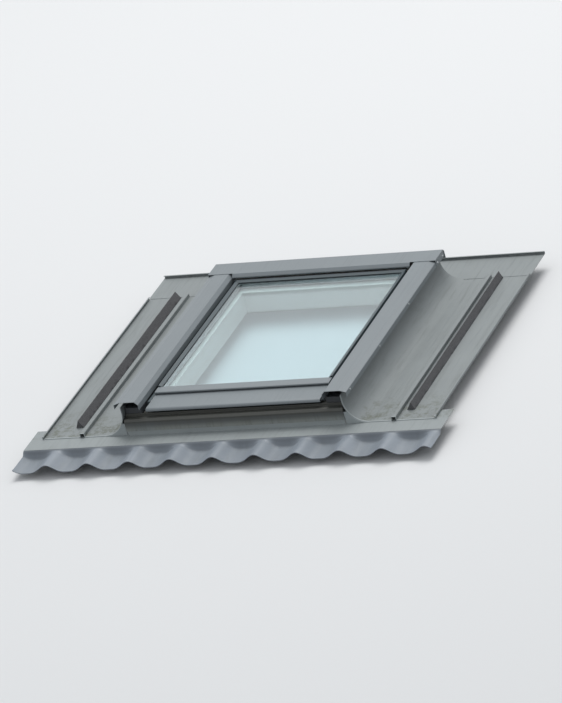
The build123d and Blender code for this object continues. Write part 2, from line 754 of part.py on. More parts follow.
# Pivot
def frame_hinge():
    """Right frame hinge: a plate on the stile with the blind bore that the pin turns in."""
    length, height = FRAME_PLATE
    z = (pivot_z - height / 2, pivot_z + height / 2)
    body = block((open_x - PLATE, open_x), (-length / 2, length / 2), z)
    body += rod(BARREL_RADIUS, (open_x - PLATE, 0, pivot_z), (1, 0, 0), BARREL_DEPTH + PLATE)
    depth = BARREL_DEPTH + PLATE - BORE_FLOOR
    body -= rod(PIN_RADIUS + PIN_FIT, (open_x - PLATE, 0, pivot_z), (1, 0, 0), depth)
    for hole in holes(frame_hinge_screw_places(), HINGE_SCREW_LENGTH):
        body -= hole
    return body


def sash_hinge():
    """Right sash hinge: a plate on the sash with the pin that turns in the frame's bore."""
    length, height = SASH_PLATE
    z = (pivot_z - height / 2, pivot_z + height / 2)
    body = block((sash_x, sash_x + PLATE), (-length / 2, length / 2), z)
    body += rod(PIN_RADIUS, (sash_x, 0, pivot_z), (1, 0, 0), PLATE + PIN_LENGTH)
    for hole in holes(sash_hinge_screw_places(), HINGE_SCREW_LENGTH):
        body -= hole
    return body


def friction_disc():
    """Disc on the right pin, between the two plates."""
    width = SASH_GAP - 2 * PLATE - RUNNING_GAP
    start = (sash_x + PLATE, 0, pivot_z)
    return rod(DISC_RADIUS, start, (1, 0, 0), width) - rod(PIN_RADIUS + FIT, start, (1, 0, 0), width)


keep("frame_hinge_right", frame_hinge())
keep("frame_hinge_left", other_side(frame_hinge()))
keep("sash_hinge_right", sash_hinge())
keep("sash_hinge_left", other_side(sash_hinge()))
keep("sash_hinge_screws", *screws(sash_hinge_screw_places(), HINGE_SCREW_LENGTH))
keep("friction_discs", friction_disc(), other_side(friction_disc()))


# Sash timber
def sash_stile():
    """Right sash stile, with a rebate for the glass and solid corners."""
    inner = sash_x - SASH_STILE_WIDTH
    body = block((inner, sash_x), (-sash_y, sash_y), (sash_bottom, sash_top))
    body += block((sash_x - REBATE_WALL, sash_x), (-sash_y, top_wall_y), (sash_top, wall_top))
    body += block((inner, sash_x), (-sash_y, -sash_y + BOTTOM_WALL), (sash_top, wall_top))
    body += block((inner, sash_x), (top_wall_y - REBATE_WALL, top_wall_y), (sash_top, wall_top))
    outer = body.edges().filter_by(Axis.Y).group_by(Axis.X)[-1].group_by(Axis.Z)[-1]
    upper = body.edges().filter_by(Axis.X).group_by(Axis.Z)[-1].sort_by(Axis.Y)[-1]
    body = fillet([*outer, upper], ARRIS)
    for hole in holes(sash_hinge_screw_places(), HINGE_SCREW_LENGTH):
        body -= hole
    return body


def sash_bottom_rail():
    """Bottom rail, with a mortise for the lock case and a hole for the handle's spindle."""
    reach = sash_x - SASH_STILE_WIDTH
    body = block((-reach, reach), (-sash_y, -sash_y + SASH_RAIL_WIDTH), (sash_bottom, sash_top))
    body += block((-reach, reach), (-sash_y, -sash_y + BOTTOM_WALL), (sash_top, wall_top))
    length, depth, height = CASE_SIZE
    z = (pivot_z - height / 2, pivot_z + height / 2)
    body -= block((-length / 2, length / 2), (-sash_y, -sash_y + depth), z)
    body -= block((-FACEPLATE[0] / 2, FACEPLATE[0] / 2), (-sash_y, -sash_y + FACEPLATE[1]), z)
    return body - rod(SPINDLE_HOLE, (0, handle_y, sash_bottom), (0, 0, 1), pivot_z - sash_bottom)


def sash_top_rail():
    """Top rail, with a rebate for the glass."""
    reach = sash_x - SASH_STILE_WIDTH
    body = block((-reach, reach), (sash_y - SASH_RAIL_WIDTH, sash_y), (sash_bottom, sash_top))
    body += block((-reach, reach), (top_wall_y - REBATE_WALL, top_wall_y), (sash_top, wall_top))
    return fillet(body.edges().filter_by(Axis.X).group_by(Axis.Z)[-1].sort_by(Axis.Y)[-1], ARRIS)


keep("sash_stile_right", sash_stile())
keep("sash_stile_left", other_side(sash_stile()))
keep("sash_bottom_rail", sash_bottom_rail())
keep("sash_top_rail", sash_top_rail())


# Glazing
def ring(inset, width, z):
    """A flat frame that runs round the glass unit, inset from its edge."""
    x, low, high = unit_x - inset, unit_bottom_y + inset, unit_top_y - inset
    outer = block((-x, x), (low, high), z)
    return outer - block((-x + width, x - width), (low + width, high - width), z)


def gasket_right():
    """Wedge of rubber between the glass and the right sash cover's slope."""
    start = band_x - BAND_WIDTH
    slope = BAND_FALL / BAND_WIDTH
    metal = SASH_SHEET * (1 + slope * slope) ** 0.5
    low = foot_top + BAND_HEIGHT - BAND_FALL - metal
    x = (start + GASKET_PLACE[0], start + GASKET_PLACE[1])
    top = [low + (place - start) * slope for place in x]
    return polygon([(x[0], glass_top), (x[1], glass_top), (x[1], top[1]), (x[0], top[0])])


def glazing_gasket():
    """Gasket strips: two sides and the top under the covers, the bottom under the ledge."""
    side = along_y(gasket_right(), (ledge_back_y + 2 * RUNNING_GAP, band_y - BAND_WIDTH))
    shift = band_y - band_x
    reach = band_x - SASH_SHEET - LEDGE_GAP
    top = along_x(Pos(shift, 0) * gasket_right(), (-reach, reach))
    under_ledge = (ledge_back_y - LEDGE_GASKET[1], ledge_back_y - LEDGE_GASKET[0])
    bottom = block((-unit_x, unit_x), under_ledge, (glass_top, ledge_top - SASH_SHEET))
    return [side, other_side(side), top, bottom]


def setting_blocks():
    """Blocks that carry the glass unit on the ledge's leg."""
    y = (ledge_front_y + LEDGE_LEG_BACK + SASH_SHEET, unit_bottom_y)
    z = (sash_top, glass_top - PANE)
    blocks = []
    for x in (-BLOCK_SPACING / 2, BLOCK_SPACING / 2):
        blocks.append(block((x - BLOCK_LENGTH / 2, x + BLOCK_LENGTH / 2), y, z))
    return blocks


unit = ((-unit_x, unit_x), (unit_bottom_y, unit_top_y))
keep("inner_pane", block(*unit, (inner_pane_z, cavity_z)))
keep("outer_pane", block(*unit, (outer_pane_z, glass_top)))
keep("spacer_bar", ring(SEAL_WIDTH, SPACER_WIDTH, (cavity_z, outer_pane_z)))
keep("edge_seal", ring(0, SEAL_WIDTH, (cavity_z, outer_pane_z)))
keep("glazing_tape", ring(0, TAPE_WIDTH, (sash_top, inner_pane_z)))
keep("glazing_gasket", *glazing_gasket())
keep("setting_blocks", *setting_blocks())


# Covers of the sash
def band_line(edge, lip):
    """Line of a sash cover: lip, foot on the timber, wall and the slope down to the glass."""
    wall = edge - FOOT_WIDTH
    return [
        (edge + SASH_SHEET, wall_top - lip),
        (edge + SASH_SHEET, foot_top),
        (wall, foot_top),
        (wall, foot_top + BAND_HEIGHT),
        (wall - BAND_WIDTH, foot_top + BAND_HEIGHT - BAND_FALL),
    ]


def sash_side_cover():
    """Right sash cover. Below the glass only its foot goes on, with a leg down the stile's end."""
    line = band_line(sash_x, SASH_SIDE_LIP)
    start = ledge_back_y + RUNNING_GAP
    slope_end = band_y - BAND_WIDTH - RUNNING_GAP
    glass_part = along_y(sheet(line, SASH_SHEET), (start, slope_end))
    wall_part = along_y(sheet(line[:4], SASH_SHEET), (slope_end, band_y))
    foot = sheet(line[:3], SASH_SHEET)
    lower = along_y(foot, (-sash_y - SASH_SHEET, start))
    upper = along_y(foot, (band_y, top_wall_y + SASH_SHEET))
    leg_z = (wall_top - SASH_FRONT_LEG, wall_top + SASH_SHEET / 2)
    leg = block((band_x, sash_x + SASH_SHEET), (-sash_y - SASH_SHEET, -sash_y), leg_z)
    return glass_part + wall_part + lower + upper + leg


def sash_top_cover():
    """Sash cover along the top, between the side covers' walls."""
    line = band_line(top_wall_y, FOOT_LIP)
    reach = band_x - SASH_SHEET - RUNNING_GAP
    return along_x(sheet(line, SASH_SHEET), (-reach, reach))


def glazing_ledge():
    """Ledge below the glass: a flat plate with a front lip, a leg on the timber and closed ends."""
    reach = band_x - 2 * RUNNING_GAP
    line = [
        (ledge_back_y, ledge_top),
        (ledge_front_y, ledge_top),
        (ledge_front_y, ledge_top - LEDGE_LIP),
    ]
    body = along_x(sheet(line, SASH_SHEET), (-reach, reach))
    leg_y = ledge_front_y + LEDGE_LEG_BACK
    leg_reach = sash_x - REBATE_WALL - RUNNING_GAP - SASH_SHEET
    body += block((-leg_reach, leg_reach), (leg_y, leg_y + SASH_SHEET), (sash_top, ledge_top - SASH_SHEET))
    end_z = (foot_top + RUNNING_GAP, ledge_top - SASH_SHEET)
    end = block((reach - SASH_SHEET, reach), (ledge_front_y + BEND, ledge_back_y), end_z)
    return body + end + other_side(end)


def sash_bottom_cover():
    """Cover in front of the ledge: a plate with a rounded nose, closed ends and a leg down the rail."""
    top = wall_top + COVER_SHEET
    line = [
        (ledge_front_y + TUCK, top),
        (nose_y, top),
        (nose_y, top - NOSE_DROP),
        (nose_y + NOSE_RETURN, top - NOSE_DROP),
    ]
    reach = band_x - SASH_SHEET
    body = along_x(sheet(line, COVER_SHEET, [NOSE_BEND, BEND]), (-reach, reach))
    end_y = (nose_y + NOSE_BEND + COVER_SHEET, -sash_y - COVER_SHEET)
    end = block((reach - COVER_SHEET, reach), end_y, (top - NOSE_DROP + COVER_SHEET, wall_top))
    leg_z = (wall_top - SASH_FRONT_LEG, wall_top + COVER_SHEET / 2)
    leg = block((-reach, reach), (-sash_y - COVER_SHEET, -sash_y), leg_z)
    return body + end + other_side(end) + leg


keep("sash_side_cover_right", sash_side_cover())
keep("sash_side_cover_left", other_side(sash_side_cover()))
keep("sash_top_cover", sash_top_cover())
keep("glazing_ledge", glazing_ledge())
keep("sash_bottom_cover", sash_bottom_cover())


# Lock and handle
def lock_case():
    """Lock case with its faceplate, the tongue's channel and the hole for the spindle."""
    length, depth, height = CASE_SIZE
    z = (pivot_z - height / 2 + FIT, pivot_z + height / 2 - FIT)
    body = block((-length / 2 + FIT, length / 2 - FIT), (-sash_y, -sash_y + depth - FIT), z)
    body += block((-FACEPLATE[0] / 2 + FIT, FACEPLATE[0] / 2 - FIT), (-sash_y, -sash_y + FACEPLATE[1]), z)
    width, reach, rise = TONGUE_SIZE
    channel_x = (-width / 2 - SLIDE_FIT, width / 2 + SLIDE_FIT)
    channel_y = (-sash_y, -sash_y + reach + 2 * SLIDE_FIT)
    body -= block(channel_x, channel_y, (pivot_z - rise / 2 - SLIDE_FIT, pivot_z + rise / 2 + SLIDE_FIT))
    return body - rod(SPINDLE_HOLE, (0, handle_y, pivot_z - height / 2), (0, 0, 1), height)


def lock_tongue():
    """Tongue of the lock, drawn back flush with the faceplate."""
    width, reach, rise = TONGUE_SIZE
    start = -sash_y + SLIDE_FIT
    body = block((-width / 2, width / 2), (start, start + reach), (pivot_z - rise / 2, pivot_z + rise / 2))
    return chamfer(body.edges().filter_by(Axis.X).group_by(Axis.Y)[0], TONGUE_CHAMFER)


def striker():
    """Striker plate on the sill, with the slot for the tongue."""
    length, height, thick = STRIKER_SIZE
    y = (-open_y, -open_y + thick)
    body = block((-length / 2, length / 2), y, (pivot_z - height / 2, pivot_z + height / 2))
    width, rise = TONGUE_SIZE[0] / 2 + mortise_room, TONGUE_SIZE[2] / 2 + mortise_room
    body -= block((-width, width), y, (pivot_z - rise, pivot_z + rise))
    for hole in holes(striker_screw_places(), STRIKER_SCREW_LENGTH):
        body -= hole
    return body


def handle_rose():
    """Rose of the handle on the bottom rail's inner face."""
    width, length, thick = ROSE_SIZE
    z = (sash_bottom - thick, sash_bottom)
    body = block((-width / 2, width / 2), (handle_y - length / 2, handle_y + length / 2), z)
    body = fillet(body.edges().filter_by(Axis.Z), width / 4)
    return body - rod(HUB_RADIUS + SLIDE_FIT, (0, handle_y, z[0]), (0, 0, 1), thick)


def handle():
    """Handle in its unlocked place along the rail, with its hub and square spindle."""
    length, width, thick = LEVER_SIZE
    low = sash_bottom - HUB_LENGTH - thick
    body = rod(HUB_RADIUS, (0, handle_y, low + thick / 2), (0, 0, 1), HUB_LENGTH + thick / 2 - SLIDE_FIT)
    y = (handle_y - width / 2, handle_y + width / 2)
    lever = block((-width / 2, length - width / 2), y, (low, low + thick))
    body += fillet(lever.edges().filter_by(Axis.Z), width / 2 - RUNNING_GAP)
    half = SPINDLE / 2
    z = (sash_bottom - HUB_LENGTH, pivot_z + CASE_SIZE[2] / 2 - SLIDE_FIT)
    return body + block((-half, half), (handle_y - half, handle_y + half), z)


keep("lock_case", lock_case())
keep("lock_tongue", lock_tongue())
keep("striker", striker())
keep(
    "frame_screws",
    *screws(frame_hinge_screw_places(), HINGE_SCREW_LENGTH),
    *screws(striker_screw_places(), STRIKER_SCREW_LENGTH),
)
keep("handle_rose", handle_rose())
keep("handle", handle())


# Ventilation flap
def vent_flap():
    """Flap over the gap between the top rail and the head, with its knuckles and finger tab."""
    half = FLAP_LENGTH / 2
    plate_z = (sash_bottom - RUNNING_GAP - FLAP_SHEET, sash_bottom - RUNNING_GAP)
    body = block((-half, half), (flap_y + FLAP_KNUCKLE, open_y - FLAP_REACH), plate_z)
    tab_y = open_y - FLAP_REACH - 2 * FLAP_SHEET
    tab_z = (plate_z[0] - FLAP_TAB[1], plate_z[0])
    body += block((-FLAP_TAB[0] / 2, FLAP_TAB[0] / 2), (tab_y - FLAP_SHEET, tab_y), tab_z)
    for place in (-FLAP_HINGE_PLACE, FLAP_HINGE_PLACE):
        knuckle_x = (place - FLAP_HINGE[1] / 2, place + FLAP_HINGE[1] / 2)
        body += rod(FLAP_KNUCKLE, (knuckle_x[0], flap_y, flap_z), (1, 0, 0), FLAP_HINGE[1])
        body += block(knuckle_x, (flap_y, flap_y + FLAP_KNUCKLE + FLAP_SHEET), (flap_z, plate_z[1]))
        body -= rod(FLAP_PIN + PIN_FIT, (knuckle_x[0], flap_y, flap_z), (1, 0, 0), FLAP_HINGE[1])
    return body


def vent_hinges():
    """Two hinge brackets under the top rail, each with its pin."""
    hinges = []
    for place in (-FLAP_HINGE_PLACE, FLAP_HINGE_PLACE):
        half, inner = FLAP_HINGE[0] / 2, FLAP_HINGE[1] / 2 + SLIDE_FIT
        body = rod(FLAP_PIN, (place - half, flap_y, flap_z), (1, 0, 0), 2 * half)
        for x in ((place - half, place - inner), (place + inner, place + half)):
            body += rod(FLAP_KNUCKLE, (x[0], flap_y, flap_z), (1, 0, 0), x[1] - x[0])
            body += block(x, (flap_y - FLAP_KNUCKLE, flap_y), (flap_z, sash_bottom))
        hinges.append(body)
    return hinges


keep("vent_flap", vent_flap())
keep("vent_hinges", *vent_hinges())


# Safety bolt
def bolt_block():
    """Housing of the safety bolt under the right sash stile, slotted for the knob."""
    length, width, height = BOLT_BLOCK
    low = sash_bottom - height
    body = block((bolt_x, bolt_x + length), (bolt_y - width / 2, bolt_y + width / 2), (low, sash_bottom))
    body -= rod(BOLT_RADIUS + SLIDE_FIT, (bolt_x, bolt_y, bolt_z), (1, 0, 0), length)
    slot = BOLT_KNOB[0] + SLIDE_FIT
    slot_x = (knob_x - slot, knob_x + BOLT_TRAVEL + slot)
    return body - block(slot_x, (bolt_y - slot, bolt_y + slot), (low, bolt_z))


def safety_bolt():
    """Safety bolt, drawn back, with its knob."""
    start = sash_x - RUNNING_GAP - BOLT_LENGTH
    low = sash_bottom - BOLT_BLOCK[2] - BOLT_KNOB[1]
    body = rod(BOLT_RADIUS, (start, bolt_y, bolt_z), (1, 0, 0), BOLT_LENGTH)
    return body + rod(BOLT_KNOB[0], (knob_x, bolt_y, low), (0, 0, 1), bolt_z - low)


keep("bolt_block", bolt_block())
keep("safety_bolt", safety_bolt())

os.makedirs("parts", exist_ok=True)
for name, shape in nodes.items():
    export_step(shape, f"parts/{name}.step")
print(len(nodes), "nodes")
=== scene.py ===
# Roof skylight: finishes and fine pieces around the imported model, in metres, in the model's own frame.
import json
import math

import bmesh
import bpy
from mathutils import Matrix, Vector, noise


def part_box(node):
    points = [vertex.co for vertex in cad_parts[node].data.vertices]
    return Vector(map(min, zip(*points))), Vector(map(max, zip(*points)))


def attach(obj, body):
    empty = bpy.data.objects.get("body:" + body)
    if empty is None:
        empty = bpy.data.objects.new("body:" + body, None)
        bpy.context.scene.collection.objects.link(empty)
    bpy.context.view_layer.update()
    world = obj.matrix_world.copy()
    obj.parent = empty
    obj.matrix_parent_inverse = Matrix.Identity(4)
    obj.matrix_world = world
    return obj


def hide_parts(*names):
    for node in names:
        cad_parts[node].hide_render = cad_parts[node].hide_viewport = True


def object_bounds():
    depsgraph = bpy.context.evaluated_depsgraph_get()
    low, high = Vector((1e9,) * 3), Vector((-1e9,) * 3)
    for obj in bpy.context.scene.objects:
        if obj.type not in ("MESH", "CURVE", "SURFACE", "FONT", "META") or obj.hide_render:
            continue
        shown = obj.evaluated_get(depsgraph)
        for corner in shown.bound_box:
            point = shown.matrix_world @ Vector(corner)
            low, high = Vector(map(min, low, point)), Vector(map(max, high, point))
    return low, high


bl_info = {
    "name": "Roof skylight",
    "version": (1, 0, 0),
    "blender": (4, 5, 0),
    "location": "3D View > Sidebar > Skylight",
    "description": "Finishes a roof window and its flashing around the packed model",
    "category": "Object",
}

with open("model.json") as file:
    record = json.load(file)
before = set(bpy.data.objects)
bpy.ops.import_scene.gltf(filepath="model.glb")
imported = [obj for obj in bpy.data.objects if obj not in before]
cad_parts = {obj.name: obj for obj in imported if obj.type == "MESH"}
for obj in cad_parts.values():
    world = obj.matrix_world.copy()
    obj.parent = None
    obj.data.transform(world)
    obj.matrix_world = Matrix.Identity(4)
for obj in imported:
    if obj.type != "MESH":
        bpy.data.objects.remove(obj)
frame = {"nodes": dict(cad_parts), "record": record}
cad_box = [list(corner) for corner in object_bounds()]
MM = 0.001
PHOTO_WIDTH = 562
PHOTO_HEIGHT = 703


def srgb(red, green, blue):
    """A colour given as it looks on screen, 0 to 255, as the linear colour that shaders take."""
    def linear(value):
        value /= 255
        return value / 12.92 if value <= 0.04045 else ((value + 0.055) / 1.055) ** 2.4
    return (linear(red), linear(green), linear(blue))


def shade(colour, factor):
    """The colour made darker or lighter, with full alpha."""
    return (*(min(1.0, part * factor) for part in colour), 1.0)


# Colours, sizes, view and light that a user would change
def tint(label, text, default):
    """A colour property."""
    return bpy.props.FloatVectorProperty(
        name=label, description=text, default=default, size=3, min=0, max=1, subtype="COLOR"
    )


def length(label, text, millimetres):
    """A length property, given in millimetres and kept in metres."""
    return bpy.props.FloatProperty(
        name=label, description=text, default=millimetres * MM, min=0, precision=5, unit="LENGTH"
    )


class FinishColours(bpy.types.PropertyGroup):
    """Colours of the finishes"""

    cover: tint("Covers", "Lacquer of the covers of the frame and below the glass", srgb(124, 131, 135))
    # Painted shade: the covers round the glass are a darker copy of the cover lacquer, for the shade that
    # the side covers cast
    band: tint("Bands", "Darker lacquer of the covers round the glass", srgb(74, 85, 90))
    # Painted shade: the rails are a dark grey that stands for the shade under the side covers
    carrier: tint("Carriers", "Dark lacquer of the rails under the side covers", srgb(52, 55, 58))
    flashing: tint("Flashing", "Lacquer of the folded flashing", srgb(135, 141, 142))
    apron: tint("Apron", "Coat of the pliable apron", srgb(136, 144, 153))
    timber: tint("Timber", "White lacquer on pine", srgb(229, 227, 221))
    grime: tint("Grime", "Dirt that rain leaves on the outside", srgb(92, 92, 84))
    moss: tint("Moss", "Growth in the wet ends of the gutters", srgb(84, 86, 62))
    rubber: tint("Rubber", "Seals and gaskets", srgb(34, 35, 36))
    zinc: tint("Zinc", "Plated steel", srgb(188, 190, 192))
    stainless: tint("Cover screws", "Stainless steel", srgb(200, 202, 203))
    satin: tint("Handle", "Anodised handle and rose", srgb(170, 170, 168))
    spacer: tint("Spacer", "Mill-finished bar between the panes", srgb(176, 178, 180))
    white: tint("Flap", "Lacquer of the ventilation flap", srgb(228, 228, 224))
    disc: tint("Discs", "Pale plastic of the friction discs", srgb(214, 212, 204))
    clip: tint("Clips", "Dark plastic of the clips and setting blocks", srgb(52, 52, 54))
    foam: tint("Foam", "Open foam beside the gutters' ribs", srgb(88, 88, 90))
    glass: tint("Glass", "Tint of the glass", (0.915, 0.965, 0.975))
    floor: tint("Floor", "Floor as the camera sees it", srgb(226, 227, 228))


class PieceSizes(bpy.types.PropertyGroup):
    """Sizes of the fine forms"""

    soft_edge: length("Soft edge", "Rounding of the timber's arrises", 1.0)
    fold: length("Folds", "Rounding of the covers' folds and cut edges", 0.3)
    apron_step: length("Apron step", "Spacing of the apron's mesh", 4.0)
    apron_dent: length("Dents", "Depth of the apron's hand-dressed unevenness", 1.1)
    apron_hem: length("Apron hem", "Width of the apron's folded lower edge", 9.0)
    screw_radius: length("Screw head", "Radius of a cover screw's head", 3.6)
    screw_height: length("Screw height", "How far a cover screw's head stands proud", 1.7)
    thread_pitch: length("Thread pitch", "Distance between the screws' threads", 1.6)
    foam_wave: length("Foam wave", "Unevenness of the foam strips", 0.8)


class CameraView(bpy.types.PropertyGroup):
    """The camera's place and frame"""

    distance: bpy.props.FloatProperty(
        name="Distance", description="From the camera to the window",
        default=21.7, min=1, unit="LENGTH",
    )
    azimuth: bpy.props.FloatProperty(
        name="Azimuth", description="Turn of the view to the right of straight up the slope",
        default=math.radians(-26.97), subtype="ANGLE",
    )
    elevation: bpy.props.FloatProperty(
        name="Elevation", description="Angle of the view above the window's plane",
        default=math.radians(24.48), subtype="ANGLE",
    )
    roll: bpy.props.FloatProperty(
        name="Roll", description="Turn of the picture about the view",
        default=math.radians(-15.3), subtype="ANGLE",
    )
    margin: bpy.props.FloatProperty(
        name="Margin", description="Free share of the picture's width on each side",
        default=0.025, min=0, max=0.4,
    )


class StudioLight(bpy.types.PropertyGroup):
    """The sky and the soft lamp"""

    sky: bpy.props.FloatProperty(
        name="Sky", description="Strength of the even light from all round",
        default=0.60, min=0, max=1,
    )
    lamp_power: bpy.props.FloatProperty(
        name="Lamp power", description="Power of the soft lamp",
        default=860.0, min=0, unit="POWER",
    )
    lamp_size: bpy.props.FloatProperty(
        name="Lamp size", description="Diameter of the soft lamp",
        default=9.0, min=0.1, unit="LENGTH",
    )
    lamp_place: bpy.props.FloatVectorProperty(
        name="Lamp place", description="Where the soft lamp hangs",
        default=(-0.1, 5.0, 10.9), size=3, subtype="TRANSLATION",
    )


# Shader trees
class Wire:
    """An output in a shader tree. Arithmetic with numbers and other outputs adds Math nodes."""

    def __init__(self, finish, socket):
        self.finish = finish
        self.socket = socket

    def __add__(self, other):
        return self.finish.math("ADD", self, other)

    def __sub__(self, other):
        return self.finish.math("SUBTRACT", self, other)

    def __rsub__(self, other):
        return self.finish.math("SUBTRACT", other, self)

    def __mul__(self, other):
        return self.finish.math("MULTIPLY", self, other)

    __radd__ = __add__
    __rmul__ = __mul__


class Finish:
    """A material in the making, or the nodes of a tree that is there already."""

    def __init__(self, name="", tree=None):
        if tree is None:
            self.material = bpy.data.materials.new(name)
            self.material.use_nodes = True
            tree = self.material.node_tree
        self.tree = tree
        self.tree.nodes.clear()

    def add(self, kind, settings=None, sockets=None, output=0):
        """Adds a node: first its settings, then its sockets' values or links. Returns one output."""
        node = self.tree.nodes.new(kind)
        for name, value in (settings or {}).items():
            setattr(node, name, value)
        for key, value in (sockets or {}).items():
            if isinstance(value, Wire):
                self.tree.links.new(value.socket, node.inputs[key])
            else:
                node.inputs[key].default_value = value
        return Wire(self, node.outputs[output]) if node.outputs else None

    def math(self, operation, first, second):
        """Adds a Math node on two values or links."""
        return self.add("ShaderNodeMath", {"operation": operation}, {0: first, 1: second})

    def place(self, scale=(1, 1, 1)):
        """The point on the object in metres, stretched along each axis."""
        point = self.add("ShaderNodeTexCoord", output="Object")
        return self.add("ShaderNodeVectorMath", {"operation": "MULTIPLY"}, {0: point, 1: scale})

    def height(self, axis):
        """One coordinate of the point on the object, in metres."""
        return self.add("ShaderNodeSeparateXYZ", sockets={0: self.place()}, output="XYZ".index(axis))

    def noise(self, scale, stretch=(1, 1, 1), detail=3.0, roughness=0.5, distortion=0.0):
        """Noise of so many waves a metre, stretched along the axes."""
        sockets = {
            "Vector": self.place(stretch), "Scale": scale, "Detail": detail,
            "Roughness": roughness, "Distortion": distortion,
        }
        return self.add("ShaderNodeTexNoise", sockets=sockets)

    def cells(self, scale, stretch=(1, 1, 1), output="Distance"):
        """Cells of so many a metre."""
        sockets = {"Vector": self.place(stretch), "Scale": scale}
        return self.add("ShaderNodeTexVoronoi", sockets=sockets, output=output)

    def step(self, value, low, high):
        """0 at low and 1 at high, with a smooth rise between them."""
        settings = {"interpolation_type": "SMOOTHSTEP"}
        return self.add("ShaderNodeMapRange", settings, {"Value": value, "From Min": low, "From Max": high})

    def band(self, value, edge, limits):
        """0 where a band begins and 1 where it is full, both measured from an edge."""
        begins, full = limits
        return self.step(value, edge + begins, edge + full)

    def mix(self, factor, first, second):
        """A colour between two colours."""
        return self.add("ShaderNodeMix", {"data_type": "RGBA"}, {0: factor, 6: first, 7: second}, output=2)

    def bump(self, height, distance, strength, below=None):
        """A normal bent by a height, whose full range is the distance in metres."""
        sockets = {"Height": height, "Distance": distance, "Strength": strength}
        if below is not None:
            sockets["Normal"] = below
        return self.add("ShaderNodeBump", sockets=sockets)

    def grain(self, scale, distance, strength):
        """The normal of a fine even grain, such as the orange peel of sprayed lacquer."""
        return self.bump(self.noise(scale, detail=1.0), distance, strength)

    def surface(self, **sockets):
        """A principled shader with its sockets, named with underscores for spaces."""
        named = {name.replace("_", " "): value for name, value in sockets.items()}
        return self.add("ShaderNodeBsdfPrincipled", sockets=named)

    def ray(self, kind):
        """One of the light path's outputs."""
        return self.add("ShaderNodeLightPath", output=kind)

    def unscattered(self):
        """1 for a ray that no matt surface has scattered on its way from the camera."""
        return self.math("LESS_THAN", self.ray("Diffuse Depth"), 0.5)

    def pale_rays(self):
        """1 for what the camera sees, also in metal and through glass, and 0 for light on the object."""
        seen = self.ray("Is Camera Ray") + self.ray("Is Glossy Ray") + self.ray("Is Transmission Ray")
        return self.unscattered() * self.math("MINIMUM", seen, 1.0)

    def output(self, shader, kind="ShaderNodeOutputMaterial"):
        """Joins the shader to the tree's output."""
        self.add(kind, sockets={"Surface": shader})

    def done(self, **sockets):
        """Ends the material with one principled shader."""
        self.output(self.surface(**sockets))
        return self.material


# Bands of dirt, painted shade and painted light: where each begins and where it is full, in metres from its
# edge
# Splashed dirt and painted light at the foot of the sill cover's front
SPLASH_AND_LIGHT_RISE = (0.025, 0.0)
# Painted shadow at the top of the sill cover's front, under the sash cover's overhang
OVERHANG_SHADOW_RISE = (0.025, 0.033)
SILT_BAND = (0.24, 0.02)
SILT_END = (0.0, 0.01)
SILT_RISE = (0.04, 0.02)
# Painted shade up the flashing's upstands, under the covers
PAINTED_SHADE_RISE = (0.030, 0.095)
# Painted highlight along the gutters' lower edge
RIM_HIGHLIGHT_BEGIN = (-0.001, 0.0)
RIM_HIGHLIGHT_END = (0.006, 0.004)
# Painted light with pale dust on the sill's upstand
UPSTAND_LIGHT_RISE = (0.0170, 0.0185)
HOLLOW_RISE = (0.004, -0.012)
# Painted shadow line along the flange's edge
SEAM_SHADOW_BAND = (-0.011, -0.005)
# Painted shade on the apron's drop below the fold
DROP_SHADE_BAND = (-0.034, -0.014)
DROP_SHADE_FALL = (-0.003, -0.013)


# Finishes
def lacquered_sheet(name, colour, grime, wear=1.0, rough=0.40):
    """Satin lacquer on folded sheet: faint rain streaks down the slope, dust and a fine orange peel."""
    finish = Finish(name)
    cloud = finish.noise(7.0, detail=4.0)
    streak = finish.step(finish.noise(1.0, (150.0, 3.0, 9.0), detail=5.0, roughness=0.6), 0.50, 0.80)
    spots = finish.step(finish.noise(260.0, detail=2.0), 0.66, 0.76)
    base = finish.mix(cloud, shade(colour, 0.92), shade(colour, 1.07))
    base = finish.mix(streak * (0.10 * wear), base, shade(grime, 1.0))
    base = finish.mix(spots * (0.10 * wear), base, shade(grime, 1.5))
    peel = finish.grain(850.0, 0.04 * MM, 0.35)
    sway = finish.noise(8.0, (1.0, 0.30, 1.0), detail=1.0)
    normal = finish.bump(sway, 0.9 * MM, 0.4, below=peel)
    roughness = rough + 0.14 * streak + 0.08 * cloud
    return finish.done(Base_Color=base, Roughness=roughness, Normal=normal)


def front_sheet(name, colour, grime, foot):
    """The sill cover's lacquer from its foot up: painted shade with grime over the whole front, darkest at
    the top as painted shadow under the sash cover's overhang, paler at the foot as dust and painted light,
    with splashed dirt and rain runs.
    """
    finish = Finish(name)
    cloud = finish.noise(9.0, detail=4.0)
    rise = finish.height("Z")
    low = finish.band(rise, foot, SPLASH_AND_LIGHT_RISE)
    overhang_shadow = finish.band(rise, foot, OVERHANG_SHADOW_RISE)
    splash = finish.step(finish.noise(60.0, (1.0, 1.0, 0.6), detail=6.0, roughness=0.7), 0.40, 0.75)
    runs = finish.step(finish.noise(1.0, (120.0, 60.0, 7.0), detail=5.0, roughness=0.6), 0.46, 0.78)
    # Pale dust with painted light at the foot
    dust_and_light = finish.mix(cloud, shade(colour, 1.25), shade(grime, 2.7))
    # Painted shade with grime: the whole front is darker than the cover lacquer
    base = finish.mix(cloud, shade(colour, 0.46), shade(grime, 0.72))
    base = finish.mix(low, base, dust_and_light)
    base = finish.mix(runs * 0.30, base, shade(grime, 0.60))
    # Painted shadow: darkest at the top, under the sash cover's overhang
    base = finish.mix(overhang_shadow * 0.75, base, shade(grime, 0.42))
    base = finish.mix(splash * low * 0.35, base, shade(grime, 1.40))
    peel = finish.grain(850.0, 0.04 * MM, 0.35)
    sway = finish.noise(10.0, (0.5, 1.0, 1.0), detail=1.0)
    normal = finish.bump(sway, 0.7 * MM, 0.4, below=peel)
    return finish.done(Base_Color=base, Roughness=0.42 + 0.20 * splash, Normal=normal)


